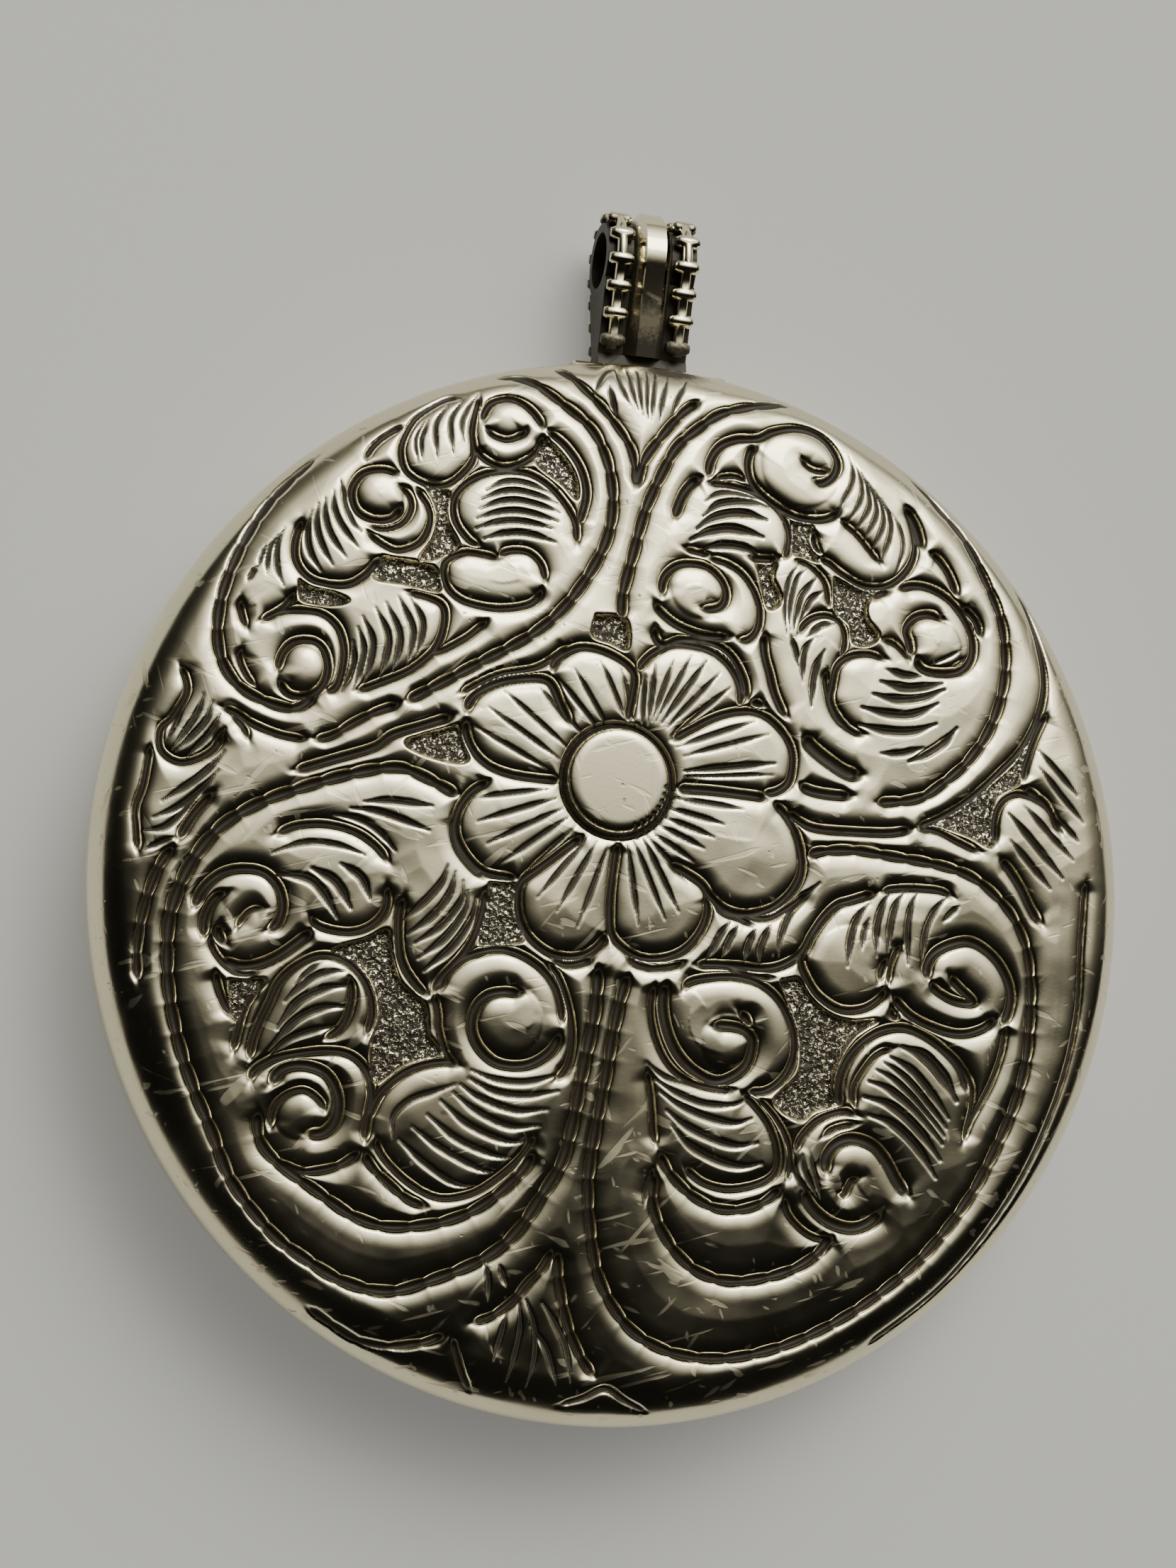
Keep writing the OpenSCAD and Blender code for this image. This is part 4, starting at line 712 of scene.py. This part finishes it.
class Nodes:
    """Adds nodes and links to one node tree with short calls."""

    def __init__(self, tree):
        self.tree = tree

    def add(self, kind, inputs=None, **settings):
        """A node with its settings, and each input given as a value or as another node's output."""
        node = self.tree.nodes.new(kind)
        for key, value in settings.items():
            setattr(node, key, value)
        for key, value in (inputs or {}).items():
            if isinstance(value, bpy.types.NodeSocket):
                self.tree.links.new(value, node.inputs[key])
            else:
                node.inputs[key].default_value = value
        return node

    def maths(self, operation, a, b=0.0, clamp=False):
        """The output of a Math node."""
        return self.add("ShaderNodeMath", {0: a, 1: b}, operation=operation, use_clamp=clamp).outputs[0]

    def range(self, value, low, high, to_low=0.0, to_high=1.0):
        """The output of a Map Range node that goes smoothly from one range to another."""
        node = self.add("ShaderNodeMapRange", {"Value": value, "From Min": low, "From Max": high,
                                               "To Min": to_low, "To Max": to_high},
                        interpolation_type="SMOOTHSTEP")
        return node.outputs["Result"]

    def noise(self, vector, scale, detail=3.0, roughness=0.5):
        """The value of a Noise Texture, with its scale in features per metre."""
        node = self.add("ShaderNodeTexNoise", {"Vector": vector, "Scale": scale, "Detail": detail,
                                               "Roughness": roughness})
        return node.outputs["Fac"]

    def mix(self, factor, a, b):
        """The colour output of a Mix node."""
        node = self.add("ShaderNodeMix", data_type="RGBA")
        for socket, value in zip((node.inputs[0], node.inputs[6], node.inputs[7]), (factor, a, b)):
            if isinstance(value, bpy.types.NodeSocket):
                self.tree.links.new(value, socket)
            else:
                socket.default_value = value
        return node.outputs[2]


def lid_section(arc, inset=0.0):
    """The lid's section by arc length along its outside: radius, height and lean of the outward normal.

    The dome is an arc of its own radius, and the shoulder an arc of the edge radius that meets it
    at the same slope. An inset moves both along their normals.
    """
    over = arc > DOME_ARC
    lean = np.where(over, EDGE_ANGLE + (arc - DOME_ARC) / EDGE_RADIUS, arc / DOME_RADIUS)
    dome_size, edge_size = DOME_RADIUS - inset, EDGE_RADIUS - inset
    radius = np.where(over, EDGE_CENTRE + edge_size * np.sin(lean), dome_size * np.sin(lean))
    z = np.where(over, SHOULDER_Z + edge_size * np.cos(lean), DOME_CENTRE_Z + dome_size * np.cos(lean))
    return radius, z, lean


def quarter_grid(cells, arcs):
    """A square grid bent to a quarter disc: the larger index gives the ring, the ratio the angle."""
    u, v = np.meshgrid(np.arange(cells + 1), np.arange(cells + 1))
    ring = np.maximum(u, v)
    ratio = np.minimum(u, v) / np.maximum(ring, 1)
    angle = np.where(v <= u, ratio, 2 - ratio) * math.pi / 4
    return arcs[ring].ravel(), angle.ravel()


def grid_quads(rows, columns):
    """Quads of vertices counted row by row, each named from its first corner round."""
    i, j = np.meshgrid(np.arange(rows - 1), np.arange(columns - 1), indexing="ij")
    corner = i * columns + j
    quads = np.stack([corner, corner + 1, corner + columns + 1, corner + columns], -1)
    return quads.reshape(-1, 4)


def grid_border(cells):
    """Indices round a square grid's border, in order, starting at its first corner."""
    side = np.arange(cells)
    row = cells + 1
    return np.concatenate([side, side * row + cells, cells * row + cells - side, (cells - side) * row])


def new_object(name, vertices, faces, normals=None, **attributes):
    """An object at the origin from arrays in millimetres, with vertex normals and attributes if given."""
    mesh = bpy.data.meshes.new(name)
    mesh.from_pydata((np.asarray(vertices) * MM).tolist(), [], faces)
    for key, values in attributes.items():
        mesh.attributes.new(key, "FLOAT", "POINT").data.foreach_set("value", np.asarray(values, np.float32))
    mesh.shade_smooth()
    mesh.update()
    if normals is not None:
        mesh.normals_split_custom_set_from_vertices(normals.tolist())
    obj = bpy.data.objects.new(name, mesh)
    bpy.context.scene.collection.objects.link(obj)
    return obj


def cover_quarter(name, turn, cells, step, field, height, slopes, dark, ground):
    """A closed quarter of the cover's sheet.

    Outside, each point of the lid's section is lifted along its normal by the chasing's height.
    Inside is the same section inset by the sheet, on a grid that is coarser by step, and a wall
    joins each of its edges to the step edges of the fine grid above it.
    """
    fine = int(cells * FINE_CELLS)
    i = np.arange(cells + 1)
    worked = DOME_ARC + FINE_SHOULDER * (SECTION_ARC - DOME_ARC)
    beyond = worked + (i - fine) * (SECTION_ARC - worked) / (cells - fine)
    arcs = np.where(i <= fine, i * worked / fine, beyond)
    arc, angle = quarter_grid(cells, arcs)
    angle = angle + turn * math.pi / 2
    radius, z, lean = lid_section(arc)
    cosine, sine, out, up = np.cos(angle), np.sin(angle), np.sin(lean), np.cos(lean)
    x, y = radius * cosine, radius * sine
    share = (radius < RIM_RADIUS).astype(float)
    lift = share * field.sample(height, x, y)
    outside = np.stack([x + lift * out * cosine, y + lift * out * sine, z + lift * up], -1)
    normals = np.stack([out * cosine - share * field.sample(slopes[1], x, y),
                        out * sine - share * field.sample(slopes[0], x, y), up], -1)
    few = cells // step
    arc, angle = quarter_grid(few, arcs[::step])
    angle = angle + turn * math.pi / 2
    radius, z, lean = lid_section(arc, SHEET)
    inside = np.stack([radius * np.cos(angle), radius * np.sin(angle), z], -1)
    inward = np.stack([-np.sin(lean) * np.cos(angle), -np.sin(lean) * np.sin(angle), -np.cos(lean)], -1)
    normals = np.concatenate([normals / np.linalg.norm(normals, axis=1, keepdims=True), inward])
    first = len(outside)
    faces = grid_quads(cells + 1, cells + 1).tolist()
    faces += (grid_quads(few + 1, few + 1)[:, ::-1] + first).tolist()
    upper, lower = grid_border(cells), grid_border(few) + first
    for k in range(len(lower)):
        run = upper[np.arange(k * step, (k + 1) * step + 1) % len(upper)]
        faces.append([lower[k], lower[(k + 1) % len(lower)], *run[::-1]])
    inner_patina = np.full(len(inside), INNER_PATINA)
    # The cover's darkening holds the tarnish in its cuts and grounds, and the painted shadow under the
    # bail's foot.
    return new_object(name, np.concatenate([outside, inside]), faces, normals,
                      patina=np.concatenate([share * field.sample(dark, x, y), inner_patina]),
                      matting=np.concatenate([field.sample(ground, x, y), np.zeros(len(inside))]))


def smooth_copy(node, crease=35.0):
    """A merged copy of a CAD solid, smooth but for sharp edges where it turns by over crease degrees."""
    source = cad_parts[node]
    mesh = source.data.copy()
    work = bmesh.new()
    work.from_mesh(mesh)
    bmesh.ops.remove_doubles(work, verts=work.verts, dist=1e-7)
    work.to_mesh(mesh)
    work.free()
    mesh.shade_smooth()
    mesh.set_sharp_from_angle(angle=math.radians(crease))
    obj = bpy.data.objects.new(node + "_finished", mesh)
    bpy.context.scene.collection.objects.link(obj)
    even = obj.modifiers.new("Flat faces stay flat", "WEIGHTED_NORMAL")
    even.weight = 100
    even.keep_sharp = True
    return obj


def darken_bail(obj):
    """Writes the darkening of a bail piece: tarnish and painted shade near its strip, painted shade towards
    the foot, clean on top.

    The height over the strip is the distance from the axis of the hole round the top, and the
    distance along the leg's normal below the point where the leaning leg starts.
    """
    low, high = (np.array(corner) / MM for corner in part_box("bail_band"))
    centre = (low + high) / 2
    radius = (high[1] - low[1]) / 2
    place = np.empty(3 * len(obj.data.vertices))
    obj.data.vertices.foreach_get("co", place)
    place = place.reshape(-1, 3) / MM
    along = place[:, 1] - centre[1]
    across = np.abs(place[:, 2] - centre[2])
    lean = math.radians(BAIL_LEAN)
    on_leg = np.arctan2(along, across) < -lean
    reach = np.where(on_leg, across * math.cos(lean) - along * math.sin(lean), np.hypot(along, across))
    # Painted shade, with some tarnish, in the hollows beside the strip; painted shade at the foot, where the
    # bail meets the case.
    strip_darkness, clean_above = 0.95, (0.15, 0.52)
    foot_darkness, clean_beyond = 0.8, (CASE_RADIUS + 1.0, CASE_RADIUS + 3.8)
    near_strip = strip_darkness * (1 - ease(reach - radius, *clean_above))
    near_foot = foot_darkness * (1 - ease(place[:, 1], *clean_beyond))
    layer = obj.data.attributes.new("patina", "FLOAT", "POINT")
    layer.data.foreach_set("value", np.maximum(near_strip, near_foot).astype(np.float32))
    return obj


def dress(obj, body, slot, material, *nodes):
    """Rides a piece on its body, hides the CAD nodes it replaces, and gives its material; the slot is not
    used.
    """
    obj.data.materials.clear()
    obj.data.materials.append(material)
    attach(obj, body)
    if nodes:
        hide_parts(*nodes)
    return obj


# Height of the finest wear, in metres.
SURFACE_RELIEF = 6e-6

# Sets of scratches: turn in radians, how drawn out, features per metre, and the noise that starts one.
SCRATCH_SETS = ((0.4, 24, 1500, 0.66), (1.3, 30, 1900, 0.68), (2.3, 18, 1300, 0.67), (2.9, 26, 2300, 0.66))


def surface_group():
    """Worn silver: a node group that turns tarnish, painted shade, wear and scratches into colour, gloss and
    height.

    Each noise is a share between 0 and 1. A smooth step of it between two levels picks out where
    it is strong, and the shares are then added, taken away or multiplied into one another.
    """
    name = "Worn silver surface"
    if name in bpy.data.node_groups:
        return bpy.data.node_groups[name]
    group = bpy.data.node_groups.new(name, "ShaderNodeTree")
    for label, kind, default in (("Metal", "NodeSocketColor", (0.9, 0.88, 0.8, 1)),
                                 ("Tarnish", "NodeSocketColor", (0.03, 0.025, 0.018, 1)),
                                 ("Patina and shade", "NodeSocketFloat", 0.0),
                                 ("Matting", "NodeSocketFloat", 0.0),
                                 ("Polish", "NodeSocketFloat", 0.25),
                                 ("Scratches", "NodeSocketFloat", 1.0)):
        group.interface.new_socket(label, in_out="INPUT", socket_type=kind).default_value = default
    for label, kind in (("Color", "NodeSocketColor"), ("Metallic", "NodeSocketFloat"),
                        ("Roughness", "NodeSocketFloat"), ("Height", "NodeSocketFloat")):
        group.interface.new_socket(label, in_out="OUTPUT", socket_type=kind)
    nodes = Nodes(group)
    given = nodes.add("NodeGroupInput").outputs
    place = nodes.add("ShaderNodeTexCoord").outputs["Object"]
    scratches = None
    for turn, length, fineness, threshold in SCRATCH_SETS:
        turned = nodes.add("ShaderNodeMapping", {"Vector": place, "Rotation": (0.3, 0.2, turn)})
        drawn = nodes.add("ShaderNodeMapping", {"Vector": turned.outputs[0], "Scale": (1 / length, 1, 1)})
        line = nodes.range(nodes.noise(drawn.outputs[0], fineness, 1.5), threshold, threshold + 0.05)
        scratches = line if scratches is None else nodes.maths("MAXIMUM", scratches, line)
    scratches = nodes.maths("MULTIPLY", scratches, given["Scratches"])
    cloud = nodes.noise(place, 160, 4.0, 0.6)
    grain = nodes.noise(place, 5200, 2.0, 0.6)
    pits = nodes.range(nodes.noise(place, 1500, 2.0, 0.55), 0.72, 0.78)
    flecks = nodes.range(nodes.noise(place, 5600, 2.0, 0.7), 0.44, 0.62, -0.3, 0.55)
    # The darkening mixes the tarnish and painted shade of the patina input with the grain, flecks and pits.
    dirt_and_shade = nodes.maths("ADD", given["Patina and shade"], nodes.maths("MULTIPLY", grain, 0.3))
    dirt_and_shade = nodes.maths("SUBTRACT", dirt_and_shade, nodes.maths("MULTIPLY", flecks, given["Matting"]))
    dirt_and_shade = nodes.range(dirt_and_shade, 0.35, 0.85)
    dirt_and_shade = nodes.maths("MAXIMUM", dirt_and_shade, nodes.maths("MULTIPLY", pits, 0.5))
    film = nodes.range(cloud, 0.42, 0.68, 0.0, 0.16)
    warm = nodes.mix(film, given["Metal"], (0.62, 0.5, 0.3, 1))
    colour = nodes.mix(nodes.maths("MULTIPLY", dirt_and_shade, 0.98), warm, given["Tarnish"])
    satin = nodes.maths("ADD", given["Polish"], nodes.range(cloud, 0.35, 0.7, -0.03, 0.05))
    rough = nodes.maths("ADD", satin, nodes.maths("MULTIPLY", scratches, 0.16))
    rough = nodes.maths("ADD", rough, nodes.maths("MULTIPLY", dirt_and_shade, 0.35), clamp=True)
    scored = nodes.maths("MULTIPLY", scratches, 0.5)
    height = nodes.maths("SUBTRACT", nodes.maths("MULTIPLY", grain, 0.25), scored)
    height = nodes.maths("SUBTRACT", height, nodes.maths("MULTIPLY", pits, 0.8))
    dots = nodes.maths("MULTIPLY", nodes.maths("MULTIPLY", flecks, given["Matting"]), 5.0)
    height = nodes.maths("ADD", height, dots)
    nodes.add("NodeGroupOutput", {"Color": colour, "Metallic": nodes.range(dirt_and_shade, 0.3, 1.0, 1.0, 0.35),
                                  "Roughness": rough, "Height": height})
    return group


def silver(name, metal, tarnish, patina, polish, scratches):
    """Silver with the worn surface: its darkening of tarnish and painted shade is an amount, or the name of
    the attribute that holds it.
    """
    if name in bpy.data.materials:
        return bpy.data.materials[name]
    material = bpy.data.materials.new(name)
    material.use_nodes = True
    nodes = Nodes(material.node_tree)
    shader = nodes.tree.nodes["Principled BSDF"]
    surface = nodes.add("ShaderNodeGroup", node_tree=surface_group())
    if isinstance(patina, str):
        for socket, attribute in (("Patina and shade", patina), ("Matting", "matting")):
            amount = nodes.add("ShaderNodeAttribute", attribute_name=attribute).outputs["Fac"]
            nodes.tree.links.new(amount, surface.inputs[socket])
    else:
        surface.inputs["Patina and shade"].default_value = patina
    surface.inputs["Metal"].default_value = (*metal, 1)
    surface.inputs["Tarnish"].default_value = (*tarnish, 1)
    surface.inputs["Polish"].default_value = polish
    surface.inputs["Scratches"].default_value = scratches
    for socket, output in (("Base Color", "Color"), ("Metallic", "Metallic"), ("Roughness", "Roughness")):
        nodes.tree.links.new(surface.outputs[output], shader.inputs[socket])
    bump = nodes.add("ShaderNodeBump", {"Height": surface.outputs["Height"], "Distance": SURFACE_RELIEF,
                                        "Strength": 1.0})
    nodes.tree.links.new(bump.outputs[0], shader.inputs["Normal"])
    return material


def plain(name, colour, roughness=0.9):
    """A matt, even colour."""
    material = bpy.data.materials.new(name)
    material.use_nodes = True
    shader = material.node_tree.nodes["Principled BSDF"]
    shader.inputs["Base Color"].default_value = (*colour, 1)
    shader.inputs["Roughness"].default_value = roughness
    return material


def acetate(name, tint):
    """Clear acetate: a thin, slightly yellowed sheet that is mostly seen by its gloss."""
    material = plain(name, tint, roughness=0.08)
    shader = material.node_tree.nodes["Principled BSDF"]
    shader.inputs["Transmission Weight"].default_value = 1.0
    shader.inputs["IOR"].default_value = 1.47
    return material


def length_setting(name, description, millimetres, least=0.0):
    """A length setting, given in millimetres and kept in metres."""
    return FloatProperty(name=name, description=description, default=millimetres * MM,
                         min=least * MM, unit="LENGTH", precision=5)


def colour_setting(name, description, default):
    """A colour setting."""
    return FloatVectorProperty(name=name, description=description, default=default,
                               min=0, max=1, size=3, subtype="COLOR")


class LocketChasing(bpy.types.PropertyGroup):
    """Sizes of the chased ornament."""

    groove_depth: length_setting(
        "Groove depth", "Depth of the widest liner cuts", 0.24)
    rib_depth: length_setting(
        "Rib depth", "Depth of an engraved rib 0.3 mm wide", 0.13)
    plateau: length_setting(
        "Raised level", "Height of the motifs' tops above the plain dome", 0.5)
    pillow: length_setting(
        "Swell", "Rise of the metal from a groove's edge to the top of its cell", 0.26)
    shoulder: length_setting(
        "Swell width", "Distance over which a cell swells to its top", 0.9, least=0.1)
    rib_round: length_setting(
        "Rib rounding", "How far the metal rounds over beside a rib", 0.045)
    crown: length_setting(
        "Crown", "Extra rise of the middle of a wide cell", 0.07)
    beaten: length_setting(
        "Beaten surface", "Spread of the hand-beaten unevenness", 0.012)
    boss_rise: length_setting(
        "Boss rise", "Height of the central boss above the motifs", 0.29)
    ground_level: length_setting(
        "Ground level", "Height of the sunk ground above the plain dome", 0.08)
    matting_height: length_setting(
        "Matting height", "Roughness of the punched ground", 0.03)
    edge_softness: length_setting(
        "Wear", "Width over which sharp edges are worn round", 0.045)
    cut_width: FloatProperty(
        name="Cut width", description="Width of the liner cuts as a share of their drawn width",
        default=0.92, min=0.3, max=1.5, subtype="FACTOR")
    punch_length: length_setting(
        "Punch length", "Length of one stroke of the liner punch", 1.45, least=0.1)
    grid_pitch: length_setting(
        "Grid pitch", "Spacing of the grid that the chasing is worked out on", 0.05, least=0.02)
    cells: IntProperty(
        name="Cells", description="Cells along a side of each quarter of the cover",
        default=310, min=50, max=310)


class LocketFinish(bpy.types.PropertyGroup):
    """Colours and gloss of the metal."""

    silver_colour: colour_setting(
        "Silver", "Colour of the worn silver", (0.86, 0.785, 0.565))
    tarnish_colour: colour_setting(
        # This dark colour also serves for the painted shade on the bail and the painted shadow under its
        # foot.
        "Tarnish", "Colour of the tarnish left in the cuts", (0.028, 0.022, 0.014))
    window_colour: colour_setting(
        "Acetate", "Tint of the clear windows", (0.97, 0.96, 0.9))
    polish: FloatProperty(
        name="Satin", description="Roughness of the silver, from mirror at 0 to matt at 1",
        default=0.18, min=0, max=1, subtype="FACTOR")


class LocketStage(bpy.types.PropertyGroup):
    """Sizes and colours of the floor and the lights."""

    floor_colour: colour_setting(
        "Floor", "Colour of the plain floor", (0.6, 0.6, 0.575))
    floor_size: FloatProperty(
        name="Floor size", description="Side of the square floor",
        default=3.0, min=0.1, unit="LENGTH")
    window_power: FloatProperty(
        name="Large light", description="Power of the large soft light beyond the bail",
        default=0.6, min=0, unit="POWER")
    room_level: FloatProperty(
        name="Room", description="Brightness of the middle of the room's bright patch",
        default=4.0, min=0, max=8)
    room_colour: colour_setting(
        "Room colour", "Colour of the room's light", (1.0, 0.99, 0.89))
    shade_level: FloatProperty(
        name="Shade", description="Brightness of the room outside the bright patch",
        default=0.006, min=0, max=1, subtype="FACTOR")
    patch_direction: FloatVectorProperty(
        name="Bright patch", description="Direction towards the middle of the room's bright patch",
        default=(0.28, 0.61, 0.74), min=-1, max=1, size=3, subtype="DIRECTION")
    patch_spread: FloatProperty(
        name="Patch spread", description="Angle over which the bright patch falls off, in radians",
        default=0.34, min=0.05, max=3)
    floor_glow: FloatProperty(
        name="Floor glow", description="Share of its colour that the floor gives off to eye and reflections",
        default=0.3, min=0, max=1, subtype="FACTOR")


def in_millimetres(group):
    """A property group's lengths as plain numbers of millimetres, with its other values as they are."""
    values = {}
    for prop in group.bl_rna.properties:
        if prop.identifier not in ("rna_type", "name"):
            value = getattr(group, prop.identifier)
            values[prop.identifier] = value / MM if getattr(prop, "unit", "NONE") == "LENGTH" else value
    return SimpleNamespace(**values)


def worn_silver(patina="patina", name="Worn silver", scratches=1.0, polish=0.0):
    """The locket's silver with the scene's finish settings."""
    finish = bpy.context.scene.locket_finish
    return silver(name, finish.silver_colour, finish.tarnish_colour, patina, finish.polish + polish,
                  scratches)


class LOCKET_OT_cover(bpy.types.Operator):
    """Make the chased front cover in four closed quarters"""

    bl_idname = "locket.cover"
    bl_label = "Chased cover"

    def execute(self, context):
        look = in_millimetres(context.scene.locket_chasing)
        field, height, dark, ground = chase(look)
        slopes = np.gradient(height, field.pitch)
        for turn in range(4):
            name = f"chased_cover_quarter_{turn + 1}"
            quarter = cover_quarter(name, turn, look.cells, COARSENESS, field, height, slopes, dark, ground)
            dress(quarter, "lid", "worn_silver", worn_silver(), "front_cover")
        return {"FINISHED"}


class LOCKET_OT_case(bpy.types.Operator):
    """Finish the plain silver of the case, the lid's band and the hinge"""

    bl_idname = "locket.case"
    bl_label = "Case and hinge"

    def execute(self, context):
        metal = worn_silver(0.0, "Plain worn silver")
        for node, body in (("back_cover", "case"), ("case_band", "case"), ("case_lip", "case"),
                           ("case_knuckle", "case"), ("hinge_pin", "case"), ("snap_bead", "case"),
                           ("lid_band", "lid"), ("lid_knuckle_left", "lid"), ("lid_knuckle_right", "lid")):
            dress(smooth_copy(node), body, "worn_silver", metal, node)
        return {"FINISHED"}


class LOCKET_OT_bail(bpy.types.Operator):
    """Finish the bail: its band, ridge, foot and beaded wires"""

    bl_idname = "locket.bail"
    bl_label = "Bail"

    def execute(self, context):
        metal = worn_silver(name="Bail silver", scratches=0.6, polish=-0.04)
        for node in ("bail_foot", "bail_band", "bail_ridge", "bail_bead_wire_left", "bail_bead_wire_right"):
            dress(darken_bail(smooth_copy(node, 25.0)), "case", "worn_silver", metal, node)
        return {"FINISHED"}


class LOCKET_OT_frames(bpy.types.Operator):
    """Finish the two picture frames, their seats and windows"""

    bl_idname = "locket.frames"
    bl_label = "Picture frames and windows"

    def execute(self, context):
        finish = context.scene.locket_finish
        bright = worn_silver(0.0, "Bright silver", scratches=0.4, polish=-0.1)
        dull = worn_silver(0.15, "Dull silver", scratches=0.8, polish=0.15)
        clear = acetate("Clear acetate", finish.window_colour)
        for side, body in (("back", "case"), ("front", "lid")):
            for part, rides, slot, material in (("frame_seat", body, "dull_silver", dull),
                                                ("picture_frame", f"{side}_frame", "bright_silver", bright),
                                                ("window", f"{side}_frame", "clear_acetate", clear)):
                dress(smooth_copy(f"{side}_{part}"), rides, slot, material, f"{side}_{part}")
        return {"FINISHED"}


class LOCKET_OT_stage(bpy.types.Operator):
    """Set the floor, the soft lights and the camera"""

    bl_idname = "locket.stage"
    bl_label = "Stage"

    def execute(self, context):
        stage = context.scene.locket_stage
        half = stage.floor_size / 2 / MM
        below = -0.02
        corners = [(-half, -half, below), (half, -half, below), (half, half, below), (-half, half, below)]
        floor = new_object("floor", corners, [(0, 1, 2, 3)])
        floor.data.materials.append(pale_floor(stage))
        add_light("large_light", place=(0.1, 0.33, 0.41), size=0.24, power=stage.window_power)
        add_camera()
        context.scene.world = room(stage)
        return {"FINISHED"}


def room(stage):
    """The room's light by direction: one broad bright patch high on the far side, in a dim room.

    Its brightness is level * exp((cos(angle from the patch's middle) - 1) / spread^2), cut off
    towards the near side, plus a small even part. The camera sees the backdrop's colour instead.
    """
    world = bpy.data.worlds.new("Room")
    world.use_nodes = True
    nodes = Nodes(world.node_tree)
    away = nodes.add("ShaderNodeTexCoord").outputs["Generated"]
    middle = Vector(stage.patch_direction).normalized()
    product = nodes.add("ShaderNodeVectorMath", {0: away, 1: tuple(middle)}, operation="DOT_PRODUCT")
    closeness = product.outputs["Value"]
    fall = nodes.maths("DIVIDE", nodes.maths("SUBTRACT", closeness, 1.0), stage.patch_spread ** 2)
    level = nodes.maths("MULTIPLY", nodes.maths("EXPONENT", fall), stage.room_level)
    lean = nodes.add("ShaderNodeSeparateXYZ", {0: away}).outputs[1]
    dark_below, full_above = -0.2, 0.35
    level = nodes.maths("MULTIPLY", level, nodes.range(lean, dark_below, full_above))
    level = nodes.maths("ADD", level, stage.shade_level)
    seen = nodes.add("ShaderNodeLightPath").outputs["Is Camera Ray"]
    colour = nodes.mix(seen, (*stage.room_colour, 1), (*stage.floor_colour, 1))
    level = nodes.maths("ADD", nodes.maths("MULTIPLY", level, nodes.maths("SUBTRACT", 1.0, seen)), seen)
    background = nodes.tree.nodes["Background"]
    nodes.tree.links.new(colour, background.inputs["Color"])
    nodes.tree.links.new(level, background.inputs["Strength"])
    return world


def pale_floor(stage):
    """The floor's matt colour, with a little of it given off towards the camera and in reflections."""
    material = plain("Floor", stage.floor_colour)
    nodes = Nodes(material.node_tree)
    path = nodes.add("ShaderNodeLightPath").outputs
    seen = nodes.maths("MAXIMUM", path["Is Camera Ray"], path["Is Glossy Ray"])
    seen = nodes.maths("MAXIMUM", seen, path["Is Transmission Ray"])
    shader = nodes.tree.nodes["Principled BSDF"]
    shader.inputs["Emission Color"].default_value = (*stage.floor_colour, 1)
    strength = nodes.maths("MULTIPLY", seen, stage.floor_glow)
    nodes.tree.links.new(strength, shader.inputs["Emission Strength"])
    return material


def add_light(name, place, size, power):
    """A square soft light that faces the middle of the locket."""
    lamp = bpy.data.lights.new(name, "AREA")
    lamp.shape = "SQUARE"
    lamp.size = size
    lamp.energy = power
    obj = bpy.data.objects.new(name, lamp)
    bpy.context.scene.collection.objects.link(obj)
    obj.location = place
    obj.rotation_euler = (-Vector(place)).to_track_quat("-Z", "Y").to_euler()
    return obj


def add_camera():
    """The camera, a little to the left of and below the locket's axis, upright along the bail."""
    forward = Vector((0.24851, 0.12187, -0.96093))
    up = Vector((-0.07857, 0.99132, 0.10541))
    right = forward.cross(up).normalized()
    up = right.cross(forward).normalized()
    turn = Matrix((right, up, -forward)).transposed()
    camera = bpy.data.cameras.new("camera")
    camera.lens = 52.08
    camera.sensor_width = 36
    camera.clip_start = 5 * MM
    obj = bpy.data.objects.new("camera", camera)
    bpy.context.scene.collection.objects.link(obj)
    place = Vector((-31.11, -9.17, 117.13)) * MM
    obj.matrix_world = Matrix.Translation(place) @ turn.to_4x4()
    bpy.context.scene.camera = obj
    return obj


PIECE_OPERATORS = (LOCKET_OT_stage, LOCKET_OT_cover, LOCKET_OT_case, LOCKET_OT_bail, LOCKET_OT_frames)


class LOCKET_PT_panel(bpy.types.Panel):
    """Lists the locket's sizes, colours and pieces"""

    bl_idname = "LOCKET_PT_panel"
    bl_label = "Locket"
    bl_space_type = "VIEW_3D"
    bl_region_type = "UI"
    bl_category = "Locket"

    def draw(self, context):
        scene = context.scene
        for group in (scene.locket_chasing, scene.locket_finish, scene.locket_stage):
            box = self.layout.box()
            for prop in group.bl_rna.properties:
                if prop.identifier not in ("rna_type", "name"):
                    box.prop(group, prop.identifier)
        for operator in PIECE_OPERATORS:
            self.layout.operator(operator.bl_idname)


CLASSES = (LocketChasing, LocketFinish, LocketStage, *PIECE_OPERATORS, LOCKET_PT_panel)


def register():
    """Registers the classes and adds the settings to the scene."""
    for cls in CLASSES:
        bpy.utils.register_class(cls)
    bpy.types.Scene.locket_chasing = PointerProperty(type=LocketChasing)
    bpy.types.Scene.locket_finish = PointerProperty(type=LocketFinish)
    bpy.types.Scene.locket_stage = PointerProperty(type=LocketStage)


def unregister():
    """Removes the settings and the classes."""
    del bpy.types.Scene.locket_stage
    del bpy.types.Scene.locket_finish
    del bpy.types.Scene.locket_chasing
    for cls in reversed(CLASSES):
        bpy.utils.unregister_class(cls)


def main():
    """Makes every piece in order."""
    register()
    for operator in PIECE_OPERATORS:
        group, name = operator.bl_idname.split(".")
        getattr(getattr(bpy.ops, group), name)()


if __name__ == "__main__":
    main()
